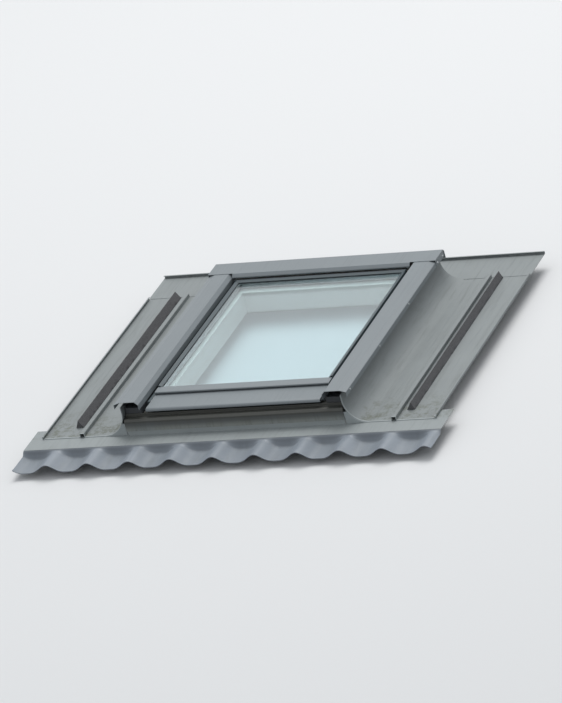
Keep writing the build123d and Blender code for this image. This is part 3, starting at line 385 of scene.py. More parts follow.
def flashing_sheet(name, colour, grime, moss, lower_end, rim_highlight_share=0.6, dust_and_light_share=0.0):
    """Flashing in the weather: streaks, silt and moss in the wet lower ends, paler rubbed places, and
    painted shade up the upstands.

    The rim is a painted highlight along the gutters' lower edge. The dust share lightens the flange, and
    the sill's upstand more, as pale dust and painted light.
    """
    finish = Finish(name)
    cloud = finish.noise(5.0, detail=6.0, roughness=0.62)
    streak = finish.step(finish.noise(1.0, (70.0, 5.0, 9.0), detail=6.0, roughness=0.65), 0.46, 0.76)
    rubbed = finish.step(finish.noise(38.0, detail=5.0, roughness=0.7), 0.58, 0.80)
    specks = finish.step(finish.cells(210.0), 0.10, 0.02)
    growth = finish.step(finish.noise(30.0, detail=8.0, roughness=0.74), 0.44, 0.64)
    along, rise = finish.height("Y"), finish.height("Z")
    wet = finish.band(along, lower_end, SILT_BAND) * finish.band(along, lower_end, SILT_END)
    silt = growth * (wet * finish.band(rise, 0, SILT_RISE))
    rim = finish.band(along, lower_end, RIM_HIGHLIGHT_BEGIN) * finish.band(along, lower_end, RIM_HIGHLIGHT_END)
    base = finish.mix(cloud, shade(colour, 0.84), shade(colour, 1.12))
    base = finish.mix(streak * 0.20, base, shade(grime, 0.9))
    # Painted shade: darker up the upstands, under the covers
    base = finish.mix(finish.band(rise, 0, PAINTED_SHADE_RISE) * 0.45, base, shade(colour, 0.45))
    base = finish.mix(rubbed * 0.20, base, shade(colour, 1.35))
    base = finish.mix(specks * 0.30, base, shade(grime, 0.55))
    base = finish.mix(silt * 0.55, base, shade(moss, 1.0))
    # Painted highlight along the gutters' lower edge
    base = finish.mix(rim * rim_highlight_share, base, shade(colour, 1.7))
    # Pale dust and painted light on the flange, more on the upstand's face
    if dust_and_light_share:
        dust = finish.mix(cloud, shade(colour, 1.30), shade(colour, 1.75))
        upstand = finish.band(rise, 0, UPSTAND_LIGHT_RISE)
        base = finish.mix(dust_and_light_share * (0.45 + 0.55 * upstand), base, dust)
    normal = finish.grain(700.0, 0.05 * MM, 0.4)
    normal = finish.bump(finish.noise(11.0, detail=2.0), 1.4 * MM, 0.5, below=normal)
    normal = finish.bump(silt, 0.8 * MM, 0.6, below=normal)
    roughness = 0.46 + 0.18 * streak + 0.10 * cloud + 0.2 * silt
    return finish.done(Base_Color=base, Roughness=roughness, Normal=normal)


def pliable_sheet(name, colour, grime, fold_y, top):
    """Coated pliable sheet, finely pleated so that it stretches over the waves, with painted shade on the
    drop below the flange and a painted shadow line along the flange's edge.
    """
    finish = Finish(name)
    cloud = finish.noise(9.0, detail=6.0, roughness=0.6)
    film = finish.step(finish.noise(1.0, (34.0, 9.0, 9.0), detail=6.0, roughness=0.65), 0.44, 0.74)
    scuffs = finish.step(finish.noise(55.0, detail=6.0, roughness=0.75), 0.62, 0.78)
    along, rise = finish.height("Y"), finish.height("Z")
    low = finish.band(rise, 0, HOLLOW_RISE)
    drop = finish.band(along, fold_y, DROP_SHADE_BAND) * finish.band(rise, top, DROP_SHADE_FALL)
    seam_shadow = finish.band(along, fold_y, SEAM_SHADOW_BAND)
    base = finish.mix(cloud, shade(colour, 0.90), shade(colour, 1.10))
    base = finish.mix(film * 0.16, base, shade(grime, 1.2))
    base = finish.mix(low * 0.12, base, shade(grime, 1.0))
    base = finish.mix(scuffs * 0.22, base, shade(colour, 1.4))
    # Painted shade: the drop's faces are darkened
    base = finish.mix(drop * 0.34, base, shade(colour, 0.42))
    # Painted shadow: a dark line along the flange's edge
    base = finish.mix(seam_shadow * 0.62, base, shade(colour, 0.40))
    pleat = finish.add(
        "ShaderNodeTexWave", {"wave_type": "BANDS", "bands_direction": "X", "wave_profile": "SIN"},
        {"Vector": finish.place(), "Scale": 130.0, "Distortion": 0.8, "Detail": 1.0, "Detail Scale": 2.0},
    )
    normal = finish.bump(pleat, 0.14 * MM, 0.30)
    normal = finish.bump(finish.noise(60.0, detail=3.0), 0.8 * MM, 0.35, below=normal)
    return finish.done(Base_Color=base, Roughness=0.42 + 0.16 * film, Normal=normal)


def drawn_out(along, share):
    """The stretch that draws a pattern out along one axis."""
    return tuple(share if axis == along else 1.0 for axis in "XYZ")


def lacquered_pine(name, along, colour):
    """White lacquer on pine: the growth rings and fibres show faintly along one axis, and a few knots."""
    finish = Finish(name)
    rings = finish.noise(58.0, drawn_out(along, 0.035), detail=3.0, roughness=0.45, distortion=0.9)
    late = finish.step(rings, 0.42, 0.66)
    fibre = finish.noise(900.0, drawn_out(along, 0.035), detail=2.0)
    knots = finish.step(finish.cells(4.5, drawn_out(along, 0.45)), 0.075, 0.02)
    warm = tuple(part * factor for part, factor in zip(colour, (0.90, 0.87, 0.80)))
    base = finish.mix(late * 0.30, shade(colour, 1.0), shade(warm, 1.0))
    base = finish.mix(fibre * 0.12, base, shade(warm, 0.85))
    base = finish.mix(knots * 0.40, base, shade(warm, 0.62))
    normal = finish.bump(fibre, 0.08 * MM, 0.4)
    normal = finish.bump(late, 0.12 * MM, 0.5, below=normal)
    return finish.done(Base_Color=base, Roughness=0.36 + 0.08 * late, Normal=normal, Coat_Weight=0.2)


def plated_steel(name, colour, rough=0.36):
    """Zinc plated or stainless steel with faint spangle and scratches."""
    finish = Finish(name)
    spangle = finish.cells(420.0, output="Color")
    grey = finish.add("ShaderNodeRGBToBW", sockets={0: spangle})
    scratch = finish.step(finish.noise(60.0, (1.0, 12.0, 1.0), detail=4.0), 0.60, 0.66)
    base = finish.mix(grey, shade(colour, 0.82), shade(colour, 1.05))
    base = finish.mix(scratch * 0.25, base, shade(colour, 1.25))
    normal = finish.bump(scratch, 0.03 * MM, 0.4)
    return finish.done(Base_Color=base, Metallic=1.0, Roughness=rough + 0.14 * grey, Normal=normal)


def anodised(name, colour):
    """Satin anodised aluminium with a fine brushed grain."""
    finish = Finish(name)
    brushed = finish.noise(300.0, (0.06, 3.0, 3.0), detail=3.0)
    base = finish.mix(brushed, shade(colour, 0.90), shade(colour, 1.06))
    normal = finish.bump(brushed, 0.03 * MM, 0.5)
    return finish.done(Base_Color=base, Metallic=0.9, Roughness=0.26 + 0.12 * brushed, Normal=normal)


def spacer_strip(name, colour):
    """Mill-finished spacer with breathing holes."""
    finish = Finish(name)
    dots = finish.step(finish.cells(260.0), 0.28, 0.18)
    brushed = finish.noise(300.0, (0.1, 0.1, 3.0), detail=3.0)
    base = finish.mix(brushed, shade(colour, 0.92), shade(colour, 1.05))
    # Painted shade: the breathing holes are painted near black, for the shade inside them
    base = finish.mix(dots * 0.7, base, shade(colour, 0.08))
    normal = finish.bump(1 - dots, 0.3 * MM, 0.5)
    return finish.done(Base_Color=base, Metallic=0.9, Roughness=0.30 + 0.12 * brushed, Normal=normal)


def rubber(name, colour):
    """Black rubber with a pale bloom of dust."""
    finish = Finish(name)
    bloom = finish.step(finish.noise(45.0, detail=5.0, roughness=0.65), 0.46, 0.72)
    base = finish.mix(bloom * 0.5, shade(colour, 0.8), shade(colour, 2.6))
    normal = finish.grain(1400.0, 0.05 * MM, 0.4)
    return finish.done(Base_Color=base, Roughness=0.55 + 0.25 * bloom, Normal=normal)


def moulded(name, colour):
    """Moulded plastic with a fine spark-eroded grain."""
    finish = Finish(name)
    cloud = finish.noise(30.0, detail=3.0)
    base = finish.mix(cloud, shade(colour, 0.9), shade(colour, 1.1))
    normal = finish.grain(1600.0, 0.05 * MM, 0.5)
    return finish.done(Base_Color=base, Roughness=0.45 + 0.1 * cloud, Normal=normal)


def open_foam(name, colour):
    """Dark open-celled foam."""
    finish = Finish(name)
    cell = finish.cells(520.0)
    # Painted shade: the hollows of the cells are painted darker
    base = finish.mix(finish.step(cell, 0.0, 0.55), shade(colour, 0.35), shade(colour, 1.25))
    normal = finish.bump(cell, 0.9 * MM, 0.9)
    normal = finish.bump(finish.noise(120.0, detail=4.0), 1.2 * MM, 0.5, below=normal)
    return finish.done(Base_Color=base, Roughness=0.95, Normal=normal)


def window_glass(name, colour, film_share=0.0):
    """Clear glass, with a film where rain dries. Rays that light what is behind it go straight through."""
    finish = Finish(name)
    roughness = 0.0
    if film_share:
        film = finish.noise(1.0, (14.0, 2.4, 14.0), detail=6.0, roughness=0.62)
        roughness = finish.step(film, 0.42, 0.86) * film_share
    colour = (*colour, 1.0)
    glass = finish.surface(Base_Color=colour, Roughness=roughness, IOR=1.5, Transmission_Weight=1.0)
    clear = finish.add("ShaderNodeBsdfTransparent", sockets={0: colour})
    lighting = finish.math("MAXIMUM", finish.ray("Is Shadow Ray"), 1 - finish.unscattered())
    finish.output(finish.add("ShaderNodeMixShader", sockets={0: lighting, 1: glass, 2: clear}))
    return finish.material


def sealant(name, colour):
    """Dull butyl and silicone at the glass edge."""
    finish = Finish(name)
    smear = finish.noise(140.0, (1.0, 1.0, 4.0), detail=3.0)
    base = finish.mix(smear, shade(colour, 0.7), shade(colour, 1.5))
    normal = finish.bump(smear, 0.3 * MM, 0.4)
    return finish.done(Base_Color=base, Roughness=0.6, Normal=normal)


def studio_floor(name, colour):
    """Floor that the camera, metal and glass see pale, and that lights the object from below less."""
    finish = Finish(name)
    base = finish.mix(finish.pale_rays(), FLOOR_AS_LIGHT, shade(colour, 1.0))
    return finish.done(Base_Color=base, Roughness=0.9)


# Carried-over nodes
WELD_DISTANCE = 0.01 * MM
ARRIS_ANGLE = 50
FOLD_ANGLE = 20


def nodes_in(slot_name):
    """The model's nodes that the record gives one material slot."""
    return [row["node"] for row in frame["record"]["subparts"] if row["material_slot"] == slot_name]


def coat(names, material):
    """Gives nodes of the model a finish."""
    for name in names:
        node = frame["nodes"][name]
        if not node.material_slots:
            node.data.materials.append(material)
        for entry in node.material_slots:
            entry.material = material


def soften(names, width, least_angle=ARRIS_ANGLE):
    """Rounds the sharp edges of nodes, so that they catch the light as real ones do."""
    for name in names:
        node = frame["nodes"][name]
        weld = node.modifiers.new("join_faces", "WELD")
        weld.merge_threshold = WELD_DISTANCE
        bevel = node.modifiers.new("soft_edges", "BEVEL")
        bevel.width = width
        bevel.segments = 2
        bevel.limit_method = "ANGLE"
        bevel.angle_limit = math.radians(least_angle)


def solids_of(name):
    """The corners of each separate solid of a node, in the order of the node's mesh."""
    shape = bmesh.new()
    shape.from_mesh(frame["nodes"][name].data)
    bmesh.ops.remove_doubles(shape, verts=shape.verts, dist=WELD_DISTANCE)
    seen = set()
    solids = []
    for first in shape.verts:
        if first in seen:
            continue
        seen.add(first)
        front, found = [first], []
        while front:
            vert = front.pop()
            found.append(vert.co.copy())
            near = [edge.other_vert(vert) for edge in vert.link_edges]
            new = [other for other in near if other not in seen]
            seen.update(new)
            front.extend(new)
        solids.append(found)
    shape.free()
    return solids


# Meshes
def add_piece(name, mesh, body, material, replaces=()):
    """Puts a mesh into the scene as a piece that rides on a body."""
    piece = bpy.data.objects.new(name, mesh)
    bpy.context.scene.collection.objects.link(piece)
    piece.data.materials.append(material)
    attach(piece, body)
    if replaces:
        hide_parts(*replaces)
    return piece


def mesh_of(name, shape, smooth_angle=35.0):
    """A mesh from a bmesh, shaded smooth up to an angle."""
    bmesh.ops.recalc_face_normals(shape, faces=shape.faces)
    limit = math.radians(smooth_angle)
    for face in shape.faces:
        face.smooth = True
    for edge in shape.edges:
        edge.smooth = len(edge.link_faces) == 2 and edge.calc_face_angle(0.0) < limit
    mesh = bpy.data.meshes.new(name)
    shape.to_mesh(mesh)
    shape.free()
    return mesh


def spread(start, end, count):
    """Places from start to end in equal steps, both included."""
    return [start + (end - start) * step / count for step in range(count + 1)]


def skin(shape, loops):
    """Adds a closed skin over loops of points that have the same count, closed at both ends."""
    rings = [[shape.verts.new(point) for point in loop] for loop in loops]
    count = len(rings[0])
    for lower, upper in zip(rings, rings[1:]):
        for step in range(count):
            after = (step + 1) % count
            shape.faces.new((lower[step], lower[after], upper[after], upper[step]))
    shape.faces.new(list(reversed(rings[0])))
    shape.faces.new(rings[-1])


def turn(shape, rings, centre, axis, sides):
    """Adds a turned form: rings of radius, height and lobe depth about an axis, closed at both ends."""
    axis = Vector(axis).normalized()
    side = axis.orthogonal().normalized()
    other = axis.cross(side)
    angles = [2 * math.pi * step / sides for step in range(sides)]
    outward = [side * math.cos(angle) + other * math.sin(angle) for angle in angles]
    lobes = [math.cos(RECESS_LOBES * angle) for angle in angles]
    loops = []
    for radius, height, lobe_depth in rings:
        start = Vector(centre) + axis * height
        loops.append([start + way * radius * (1 + lobe_depth * lobe) for way, lobe in zip(outward, lobes)])
    skin(shape, loops)


# Screws: widths are shares of the head's or the shank's radius
RECESS_LOBES = 6
RECESS_LOBE_DEPTH = 0.16
RECESS_WIDTHS = (0.44, 0.40, 0.34)
PAN_RECESS_DEPTHS = (0, 0.8 * MM, 1.3 * MM)
SUNK_RECESS_DEPTHS = (0, 0.9 * MM, 1.5 * MM)
PAN_SIDES = 36
PAN_FOOT = 0.98
PAN_SINK = 0.2 * MM
PAN_RIM = 0.3 * MM
PAN_CROWN = ((0.93, 0.62), (0.72, 0.93), (0.52, 1.0))
SUNK_SIDES = 24
SUNK_FACE = 0.6
SUNK_RIM = 0.05 * MM
SHANK_WIDTH = 0.46
THREAD_ROOT = 0.72
THREAD_VALLEY = 0.55
THREAD_CREST = 0.78
TIP_WIDTH = 0.8
POINT_WIDTH = 0.08


def recess(radius, top, depths):
    """Rings of a six-lobed recess from its rim to its bottom, sunk below the top of a head."""
    return [(radius * wide, top - deep, RECESS_LOBE_DEPTH) for wide, deep in zip(RECESS_WIDTHS, depths)]


def pan_head(shape, centre, axis, sizes):
    """Adds a pan head with a six-lobed recess, standing on a surface."""
    radius, height = sizes.screw_radius, sizes.screw_height
    rings = [(radius * PAN_FOOT, -PAN_SINK, 0), (radius, PAN_RIM, 0)]
    rings += [(radius * wide, height * high, 0) for wide, high in PAN_CROWN]
    rings += recess(radius, height, PAN_RECESS_DEPTHS)
    turn(shape, rings, centre, axis, PAN_SIDES)


def threaded_screw(shape, corners, pitch):
    """Adds a countersunk screw with a recess and a thread, where a plain one of the model lies."""
    low = Vector([min(corner[i] for corner in corners) for i in range(3)])
    high = Vector([max(corner[i] for corner in corners) for i in range(3)])
    size = high - low
    middle = (low + high) / 2
    long = max(range(3), key=lambda i: size[i])
    across = [i for i in range(3) if i != long]
    widest = max(corners, key=lambda corner: math.hypot(*(corner[i] - middle[i] for i in across)))
    head_high = widest[long] > middle[long]
    start = middle.copy()
    start[long] = high[long] if head_high else low[long]
    axis = Vector((0, 0, 0))
    axis[long] = -1.0 if head_high else 1.0
    radius = min(size) / 2
    shank = radius * SHANK_WIDTH
    root = shank * THREAD_ROOT
    sink = radius - shank
    tip = size[long] - 2 * shank
    sunk = recess(radius, 0, SUNK_RECESS_DEPTHS)
    rings = [(wide, -height, lobe_depth) for wide, height, lobe_depth in reversed(sunk)]
    rings += [(radius * SUNK_FACE, 0, 0), (radius, SUNK_RIM, 0), (shank, sink, 0)]
    place = sink + pitch
    while place < tip:
        rings += [(root, place, 0), (root, place + pitch * THREAD_VALLEY, 0)]
        rings.append((shank, place + pitch * THREAD_CREST, 0))
        place += pitch
    rings += [(shank * TIP_WIDTH, max(tip, place), 0), (shank * POINT_WIDTH, size[long], 0)]
    turn(shape, rings, start, axis, SUNK_SIDES)


# Apron, in metres and in waves a metre
WAVE_PITCH = 0.150
WAVE_DEPTH = 0.026
WAVE_CREST_X = -0.025
WAVE_FULLNESS = 0.2
APRON_SHEET = 0.0012
APRON_TONGUE = 0.0145
APRON_INSET = 0.0003
DROP_LENGTH = 0.01755
DROP_ROWS_LENGTH = 0.0195
DENT_WAVES = 14
FINE_DENT_WAVES = 40
CREASE_WAVES = 9
TONGUE_ROWS = 3
DROP_ROWS = 10
SLOPE_ROWS = 26
HEM_ROWS = 3


def wave_drop(x):
    """How far the apron lies below its crests at a place along it, as a share of the full depth."""
    angle = 2 * math.pi * (x - WAVE_CREST_X) / WAVE_PITCH
    return (1 - math.cos(angle)) / 2 + WAVE_FULLNESS * (1 - math.cos(2 * angle)) / 2


def apron_height(x, y, low, high, fold_y, dent):
    """Height of the apron's top: flat under the flange, a rounded drop, then waves dressed by hand."""
    share = min(1.0, max(0.0, (fold_y - y) / DROP_LENGTH))
    share = share * share * (3 - 2 * share)
    fall = WAVE_DEPTH * wave_drop(x) * share
    down = (fold_y - y) / (fold_y - low.y)
    dents = noise.noise(Vector((x * DENT_WAVES, y * DENT_WAVES, 0.3)))
    dents += 0.5 * noise.noise(Vector((x * FINE_DENT_WAVES, y * FINE_DENT_WAVES, 2.7)))
    crease = 0.6 * noise.noise(Vector((x * CREASE_WAVES, 5.1, 0)))
    height = high.z - fall + dent * share * (dents * 0.75 + crease * down - 0.7)
    return min(high.z, max(low.z + APRON_SHEET, height))


def dressed_sheet(name, rows, sizes, lift=0.0):
    """A waved sheet through rows across the apron, lifted above its top by a thickness."""
    low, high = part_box("flashing_apron")
    fold_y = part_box("flashing_sill")[0].y
    columns = round((high.x - low.x) / sizes.apron_step)
    places = spread(low.x, high.x, columns)
    shape = bmesh.new()
    grid = []
    for y in rows:
        heights = [apron_height(x, y, low, high, fold_y, sizes.apron_dent) + lift for x in places]
        grid.append([shape.verts.new((x, y, z)) for x, z in zip(places, heights)])
    for upper, lower in zip(grid, grid[1:]):
        for column in range(columns):
            shape.faces.new((upper[column], lower[column], lower[column + 1], upper[column + 1]))
    return mesh_of(name, shape, 60)


# Foam, with points along each side of its section and waves a metre
FOAM_STEPS = 160
FOAM_WAVES = 90
FOAM_SIDE_POINTS = (0.05, 0.35, 0.65, 0.95)


def foam_loops(corners, wave):
    """Sections of one foam wedge along its length, pulled in a little by its cells."""
    low_y, high_y = min(c.y for c in corners), max(c.y for c in corners)
    base = min(c.z for c in corners)
    peak = max(corners, key=lambda corner: corner.z)
    flat = [(min(c.x for c in corners), base), (max(c.x for c in corners), base), (peak.x, peak.z)]
    centre_x = sum(x for x, z in flat) / 3
    centre_z = sum(z for x, z in flat) / 3
    loops = []
    for y in spread(low_y, high_y, FOAM_STEPS):
        loop = []
        for (ax, az), (bx, bz) in zip(flat, flat[1:] + flat[:1]):
            for share in FOAM_SIDE_POINTS:
                x, z = ax + (bx - ax) * share, az + (bz - az) * share
                pull = wave * (1.0 + noise.noise(Vector((x, y, z)) * FOAM_WAVES))
                inward = Vector((centre_x - x, 0, centre_z - z)).normalized() * pull
                loop.append(Vector((x + inward.x, y, z + (inward.z if z > base else 0))))
        loops.append(loop)
    return loops


# Handle
GRIP_STEPS = 40
GRIP_POINTS = 28
GRIP_INSET = 0.05 * MM
GRIP_WAIST = 0.16
GRIP_TAPER = 0.14
GRIP_TIP_HEIGHT = 0.45
GRIP_SQUARENESS = 0.6
HUB_PROFILE = ((0.94, 0.0), (0.86, 0.25), (0.84, 0.5), (0.90, 0.75), (0.98, 0.9), (0.98, 1.0))
HUB_SIDES = 32
HUB_GAP = 0.3 * MM
SPINDLE_HALF = 4 * MM
SPINDLE_CHAMFER = 0.8 * MM


def squared(value):
    """A sine or cosine that turns a circle into a rounded square."""
    return math.copysign(abs(value) ** GRIP_SQUARENESS, value)


def grip_loops(low, high, half_width, half_height):
    """Sections of the handle's lever from its hub's end to its rounded tip, waisted in the middle."""
    middle_y = (low.y + high.y) / 2
    middle_z = low.z + half_height
    angles = [2 * math.pi * step / GRIP_POINTS for step in range(GRIP_POINTS)]
    loops = []
    for x in spread(low.x + GRIP_INSET, high.x - GRIP_INSET, GRIP_STEPS):
        from_end = min(x - low.x, high.x - x, half_width)
        rounding = math.sqrt(1 - (1 - from_end / half_width) ** 2)
        along = (x - low.x) / (high.x - low.x)
        width = half_width * rounding * (1 - GRIP_WAIST * math.sin(math.pi * along))
        height = half_height * (GRIP_TIP_HEIGHT + (1 - GRIP_TIP_HEIGHT) * rounding)
        height *= 1 - GRIP_TAPER * along
        loops.append([
            Vector((x, middle_y + width * squared(math.cos(a)), middle_z + height * squared(math.sin(a))))
            for a in angles
        ])
    return loops


def spindle_loops(x, y, low_z, high_z):
    """Sections of the upright square spindle with its chamfered end."""
    thin = SPINDLE_HALF - SPINDLE_CHAMFER
    loops = []
    for half, z in ((SPINDLE_HALF, low_z), (SPINDLE_HALF, high_z - SPINDLE_CHAMFER), (thin, high_z)):
        corners = ((-half, -half), (half, -half), (half, half), (-half, half))
        loops.append([Vector((x + dx, y + dy, z)) for dx, dy in corners])
    return loops


# What each group holds, and where the cover screws sit
BANDS = ("sash_side_cover_left", "sash_side_cover_right", "sash_top_cover")
SEALANTS = ("edge_seal", "glazing_tape")
SOFT_FITTINGS = ("handle_rose", "vent_flap", "bolt_block")
SOFT_FITTING_SHARE = 0.6
OUTER_FILM = 0.06
SCREW_BODIES = {"bracket_screws": "frame", "frame_screws": "frame", "sash_hinge_screws": "sash"}
SKIRT_SCREW_SHARES = (0.04, 0.36, 0.68)
SKIRT_SCREW_DROP = 14.5 * MM
HOOD_SCREW_BACKS = (26 * MM, 74 * MM)
HOOD_OVERHANG = 1.5 * MM


# Operators, one for each piece or group of like pieces
class SKYLIGHT_OT_timber(bpy.types.Operator):
    """Finish the frame's and the sash's timber"""

    bl_idname = "skylight.timber"
    bl_label = "Timber"

    def execute(self, context):
        colours, sizes = context.scene.skylight_colours, context.scene.skylight_sizes
        names = nodes_in("frame_timber") + nodes_in("sash_timber")
        uprights = [name for name in names if "stile" in name]
        rails = [name for name in names if "stile" not in name]
        coat(uprights, lacquered_pine("pine_upright", "Y", colours.timber))
        coat(rails, lacquered_pine("pine_rail", "X", colours.timber))
        soften(names, sizes.soft_edge)
        return {"FINISHED"}


class SKYLIGHT_OT_covers(bpy.types.Operator):
    """Finish the lacquered covers and the rails that hold them"""

    bl_idname = "skylight.covers"
    bl_label = "Covers"

    def execute(self, context):
        colours, sizes = context.scene.skylight_colours, context.scene.skylight_sizes
        covers = nodes_in("cover_lacquer")
        coat(covers, lacquered_sheet("cover_lacquer", colours.cover, colours.grime))
        soften(covers, sizes.fold, FOLD_ANGLE)
        # Painted shade: the covers round the glass are finished darker than the other covers
        coat(BANDS, lacquered_sheet("shaded_band_lacquer", colours.band, colours.grime))
        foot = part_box("sill_cover")[0].z
        # The sill cover's front: painted shade under the sash cover's overhang, and dust with painted light
        # at its foot
        coat(["sill_cover"], front_sheet("front_shaded_lacquer", colours.cover, colours.grime, foot))
        # Painted shade: the rails' dark grey stands for the shade under the side covers
        dark = lacquered_sheet("carrier_lacquer", colours.carrier, colours.grime, wear=0.6, rough=0.5)
        coat(nodes_in("carrier_lacquer"), dark)
        return {"FINISHED"}


class SKYLIGHT_OT_flashing(bpy.types.Operator):
    """Finish the folded flashing"""

    bl_idname = "skylight.flashing"
    bl_label = "Flashing"

    def execute(self, context):
        colours = context.scene.skylight_colours
        lower_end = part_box("flashing_right")[0].y
        weather = (colours.flashing, colours.grime, colours.moss, lower_end)
        # The gutters get a painted highlight on their lower edge and painted shade up their upstands
        coat(nodes_in("flashing_lacquer"), flashing_sheet("flashing_lacquer", *weather))
        # The flange and upstand get pale dust and painted light, and no painted highlight
        coat(["flashing_sill"], flashing_sheet("flange_lit_lacquer", *weather, rim_highlight_share=0.0, dust_and_light_share=0.75))
        return {"FINISHED"}


class SKYLIGHT_OT_foam(bpy.types.Operator):
    """Shape the foam strips beside the gutters' ribs"""

    bl_idname = "skylight.foam"
    bl_label = "Foam strips"

    def execute(self, context):
        colours, sizes = context.scene.skylight_colours, context.scene.skylight_sizes
        material = open_foam("foam", colours.foam)
        coat(nodes_in("foam"), material)
        shape = bmesh.new()
        for corners in solids_of("foam_strips"):
            skin(shape, foam_loops(corners, sizes.foam_wave))
        mesh = mesh_of("foam_wedges", shape, 50)
        add_piece("foam_wedges", mesh, "frame", material, ["foam_strips"])
        return {"FINISHED"}


class SKYLIGHT_OT_apron(bpy.types.Operator):
    """Dress the pliable apron to the waves, with a folded hem at its lower edge"""

    bl_idname = "skylight.apron"
    bl_label = "Apron"

    def execute(self, context):
        colours, sizes = context.scene.skylight_colours, context.scene.skylight_sizes
        low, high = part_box("flashing_apron")
        fold_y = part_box("flashing_sill")[0].y
        material = pliable_sheet("apron_sheet", colours.apron, colours.grime, fold_y, high.z)
        coat(nodes_in("apron_sheet"), material)
        end = low.y + APRON_INSET
        tongue = spread(high.y, high.y - APRON_TONGUE, TONGUE_ROWS)[:-1]
        drop = spread(fold_y, fold_y - DROP_ROWS_LENGTH, DROP_ROWS)
        slope = spread(drop[-1], end, SLOPE_ROWS)[1:]
        sheet = dressed_sheet("apron_dressed", tongue + drop + slope, sizes)
        piece = add_piece("apron_dressed", sheet, "frame", material, ["flashing_apron"])
        self.thicken(piece)
        hem = dressed_sheet("apron_hem", spread(end + sizes.apron_hem, end, HEM_ROWS), sizes, APRON_SHEET)
        self.thicken(add_piece("apron_hem", hem, "frame", material))
        return {"FINISHED"}

    def thicken(self, piece):
        """Gives a sheet its thickness below its top."""
        solid = piece.modifiers.new("sheet", "SOLIDIFY")
        solid.thickness = APRON_SHEET
        solid.offset = -1


class SKYLIGHT_OT_glazing(bpy.types.Operator):
    """Finish the double glazing and what seals it"""

    bl_idname = "skylight.glazing"
    bl_label = "Glazing"

    def execute(self, context):
        colours = context.scene.skylight_colours
        coat(["outer_pane"], window_glass("outer_glass", colours.glass, OUTER_FILM))
        coat(["inner_pane"], window_glass("inner_glass", colours.glass))
        coat(nodes_in("spacer_metal"), spacer_strip("spacer_metal", colours.spacer))
        coat(SEALANTS, sealant("edge_sealant", colours.rubber))
        return {"FINISHED"}


class SKYLIGHT_OT_seals(bpy.types.Operator):
    """Finish the rubber seals and gaskets"""

    bl_idname = "skylight.seals"
    bl_label = "Seals"

    def execute(self, context):
        names = [name for name in nodes_in("seal_rubber") if name not in SEALANTS]
        coat(names, rubber("seal_rubber", context.scene.skylight_colours.rubber))
        return {"FINISHED"}


class SKYLIGHT_OT_fittings(bpy.types.Operator):
    """Finish the steel fittings, the handle's rose, the flap and the plastic pieces"""

    bl_idname = "skylight.fittings"
    bl_label = "Fittings"

    def execute(self, context):
        colours, sizes = context.scene.skylight_colours, context.scene.skylight_sizes
        coat(nodes_in("zinc_steel"), plated_steel("zinc_steel", colours.zinc))
        coat(["handle_rose"], anodised("rose_metal", colours.satin))
        flap = lacquered_sheet("flap_lacquer", colours.white, colours.grime, wear=0.15, rough=0.35)
        coat(nodes_in("flap_metal"), flap)
        coat(nodes_in("disc_plastic"), moulded("disc_plastic", colours.disc))
        coat(nodes_in("clip_plastic"), moulded("clip_plastic", colours.clip))
        soften(SOFT_FITTINGS, sizes.soft_edge * SOFT_FITTING_SHARE)
        return {"FINISHED"}


class SKYLIGHT_OT_handle(bpy.types.Operator):
    """Shape the handle with its waisted lever, hub and spindle"""

    bl_idname = "skylight.handle"
    bl_label = "Handle"

    def execute(self, context):
        material = anodised("handle_metal", context.scene.skylight_colours.satin)
        coat(["handle"], material)
        low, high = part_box("handle")
        rail_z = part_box("handle_rose")[1].z
        half_width = (high.y - low.y) / 2
        half_height = half_width / 2
        hub = Vector((low.x + half_width, (low.y + high.y) / 2, low.z + half_height))
        rise = rail_z - HUB_GAP - hub.z
        shape = bmesh.new()
        skin(shape, grip_loops(low, high, half_width, half_height))
        rings = [(half_width * wide, rise * share, 0) for wide, share in HUB_PROFILE]
        turn(shape, rings, hub, (0, 0, 1), HUB_SIDES)
        skin(shape, spindle_loops(hub.x, hub.y, hub.z + rise / 2, high.z))
        mesh = mesh_of("handle_shaped", shape)
        add_piece("handle_shaped", mesh, "handle", material, ["handle"])
        return {"FINISHED"}


class SKYLIGHT_OT_screws(bpy.types.Operator):
    """Add the cover screws, and cut threads and recesses into the others"""

    bl_idname = "skylight.screws"
    bl_label = "Screws"

    def execute(self, context):
        colours, sizes = context.scene.skylight_colours, context.scene.skylight_sizes
        shape = bmesh.new()
        for side in (-1, 1):
            for place in self.cover_places():
                pan_head(shape, Vector((side * place.x, place.y, place.z)), (side, 0, 0), sizes)
        steel = plated_steel("stainless", colours.stainless, rough=0.25)
        add_piece("cover_screws", mesh_of("cover_screws", shape), "frame", steel)
        zinc = plated_steel("screw_zinc", colours.zinc)
        for name, body in SCREW_BODIES.items():
            shape = bmesh.new()
            for corners in solids_of(name):
                threaded_screw(shape, corners, sizes.thread_pitch)
            add_piece(f"{name}_threaded", mesh_of(name, shape), body, zinc, [name])
        return {"FINISHED"}

    def cover_places(self):
        """Screws through the right side cover's skirt and the hood's side."""
        low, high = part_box("side_cover_right")
        upper_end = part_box("head_hood")[1].y
        skirt_z = high.z - SKIRT_SCREW_DROP
        skirt = [low.y + (high.y - low.y) * share for share in SKIRT_SCREW_SHARES]
        places = [Vector((high.x, y, skirt_z)) for y in skirt]
        places += [Vector((high.x + HOOD_OVERHANG, upper_end - back, skirt_z)) for back in HOOD_SCREW_BACKS]
        return places


# Stage
FLOOR_HALF = 60.0
FLOOR_GAP = 0.5 * MM
FLOOR_AS_LIGHT = (0.26, 0.26, 0.26, 1.0)
SKY_COLOUR = (0.94, 0.97, 1.0, 1.0)
LAMP_COLOUR = (1.0, 0.99, 0.975)
SENSOR_WIDTH = 36.0
NEAREST_SEEN = 0.5
FARTHEST_SEEN = 200.0


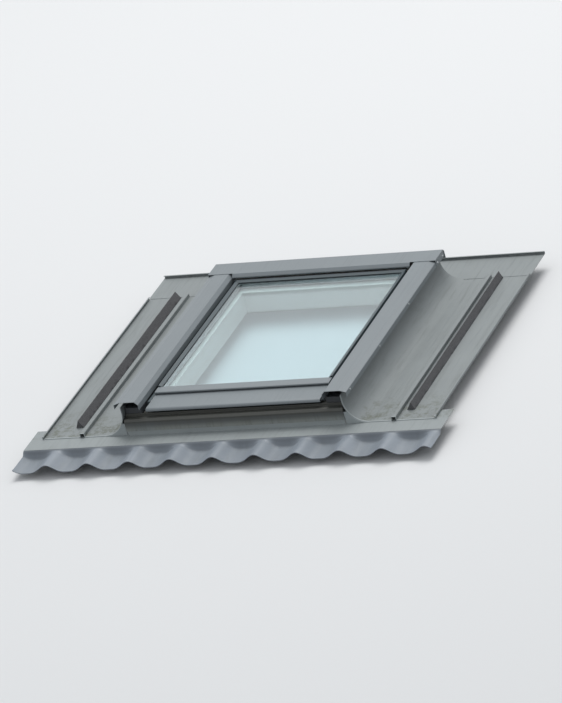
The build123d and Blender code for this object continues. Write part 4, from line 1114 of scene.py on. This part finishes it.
class SKYLIGHT_OT_stage(bpy.types.Operator):
    """Set the floor, the soft light and the camera"""

    bl_idname = "skylight.stage"
    bl_label = "Floor, light and camera"

    def execute(self, context):
        scene = context.scene
        self.set_floor(scene)
        self.set_sky(scene)
        self.set_lamp(scene)
        self.set_camera(scene)
        scene.view_settings.view_transform = "Standard"
        return {"FINISHED"}

    def set_floor(self, scene):
        """A wide floor just below the frame."""
        shape = bmesh.new()
        bmesh.ops.create_grid(shape, x_segments=1, y_segments=1, size=FLOOR_HALF)
        bmesh.ops.translate(shape, verts=shape.verts, vec=(0, 0, cad_box[0][2] - FLOOR_GAP))
        mesh = bpy.data.meshes.new("floor")
        shape.to_mesh(mesh)
        shape.free()
        mesh.materials.append(studio_floor("floor", scene.skylight_colours.floor))
        floor = bpy.data.objects.new("floor", mesh)
        scene.collection.objects.link(floor)

    def set_sky(self, scene):
        """An even pale sky."""
        world = bpy.data.worlds.new("pale_sky")
        scene.world = world
        world.use_nodes = True
        sky = Finish(tree=world.node_tree)
        least = scene.skylight_light.sky
        strength = least + (1 - least) * sky.pale_rays()
        background = sky.add("ShaderNodeBackground", sockets={"Color": SKY_COLOUR, "Strength": strength})
        sky.output(background, "ShaderNodeOutputWorld")

    def set_lamp(self, scene):
        """One large soft lamp above the window's upper end."""
        light = scene.skylight_light
        lamp = bpy.data.lights.new("soft_box", "AREA")
        lamp.shape = "DISK"
        lamp.size = light.lamp_size
        lamp.energy = light.lamp_power
        lamp.color = LAMP_COLOUR
        box = bpy.data.objects.new("soft_box", lamp)
        scene.collection.objects.link(box)
        box.visible_transmission = False
        box.location = light.lamp_place
        box.rotation_mode = "QUATERNION"
        box.rotation_quaternion = (-Vector(light.lamp_place)).to_track_quat("-Z", "Y")

    def set_camera(self, scene):
        """The photograph's angle and distance, framed on the whole window."""
        view = scene.skylight_view
        flat = math.cos(view.elevation)
        aside, ahead = math.sin(view.azimuth) * flat, math.cos(view.azimuth) * flat
        away = Vector((aside, ahead, -math.sin(view.elevation)))
        upright = away.to_track_quat("-Z", "Y").to_matrix()
        turned = upright @ Matrix.Rotation(view.roll, 3, "Z")
        right, up = turned.col[0], turned.col[1]
        corners = [Vector(corner) for node in frame["nodes"].values() for corner in node.bound_box]
        across = [corner.dot(right) for corner in corners]
        along = [corner.dot(up) for corner in corners]
        middle = right * (min(across) + max(across)) / 2 + up * (min(along) + max(along)) / 2
        width = (max(across) - min(across)) / (1 - 2 * view.margin)
        data = bpy.data.cameras.new("camera")
        camera = bpy.data.objects.new("camera", data)
        scene.collection.objects.link(camera)
        camera.rotation_mode = "QUATERNION"
        camera.rotation_quaternion = turned.to_quaternion()
        camera.location = middle - away * view.distance
        data.sensor_width = SENSOR_WIDTH
        data.lens = SENSOR_WIDTH * PHOTO_WIDTH / PHOTO_HEIGHT * view.distance / width
        data.clip_start, data.clip_end = NEAREST_SEEN, FARTHEST_SEEN
        scene.camera = camera


class SKYLIGHT_PT_panel(bpy.types.Panel):
    """Lists the window's pieces"""

    bl_label = "Roof skylight"
    bl_idname = "SKYLIGHT_PT_panel"
    bl_space_type = "VIEW_3D"
    bl_region_type = "UI"
    bl_category = "Skylight"

    def draw(self, context):
        for operator in OPERATORS:
            self.layout.operator(operator.bl_idname)
        for group_name in GROUPS:
            group = getattr(context.scene, group_name)
            for name in group.__annotations__:
                self.layout.prop(group, name)


OPERATORS = (
    SKYLIGHT_OT_timber,
    SKYLIGHT_OT_covers,
    SKYLIGHT_OT_flashing,
    SKYLIGHT_OT_foam,
    SKYLIGHT_OT_apron,
    SKYLIGHT_OT_glazing,
    SKYLIGHT_OT_seals,
    SKYLIGHT_OT_fittings,
    SKYLIGHT_OT_handle,
    SKYLIGHT_OT_screws,
    SKYLIGHT_OT_stage,
)
GROUPS = {
    "skylight_colours": FinishColours,
    "skylight_sizes": PieceSizes,
    "skylight_view": CameraView,
    "skylight_light": StudioLight,
}


def register():
    """Adds the property groups, the operators and the panel."""
    for name, group in GROUPS.items():
        bpy.utils.register_class(group)
        setattr(bpy.types.Scene, name, bpy.props.PointerProperty(type=group))
    for kind in (*OPERATORS, SKYLIGHT_PT_panel):
        bpy.utils.register_class(kind)


def unregister():
    """Takes them away again."""
    for kind in (SKYLIGHT_PT_panel, *reversed(OPERATORS)):
        bpy.utils.unregister_class(kind)
    for name, group in reversed(GROUPS.items()):
        delattr(bpy.types.Scene, name)
        bpy.utils.unregister_class(group)


def main():
    """Builds the window's looks."""
    register()
    bpy.ops.skylight.timber()
    bpy.ops.skylight.covers()
    bpy.ops.skylight.flashing()
    bpy.ops.skylight.foam()
    bpy.ops.skylight.apron()
    bpy.ops.skylight.glazing()
    bpy.ops.skylight.seals()
    bpy.ops.skylight.fittings()
    bpy.ops.skylight.handle()
    bpy.ops.skylight.screws()
    bpy.ops.skylight.stage()


if __name__ == "__main__":
    main()
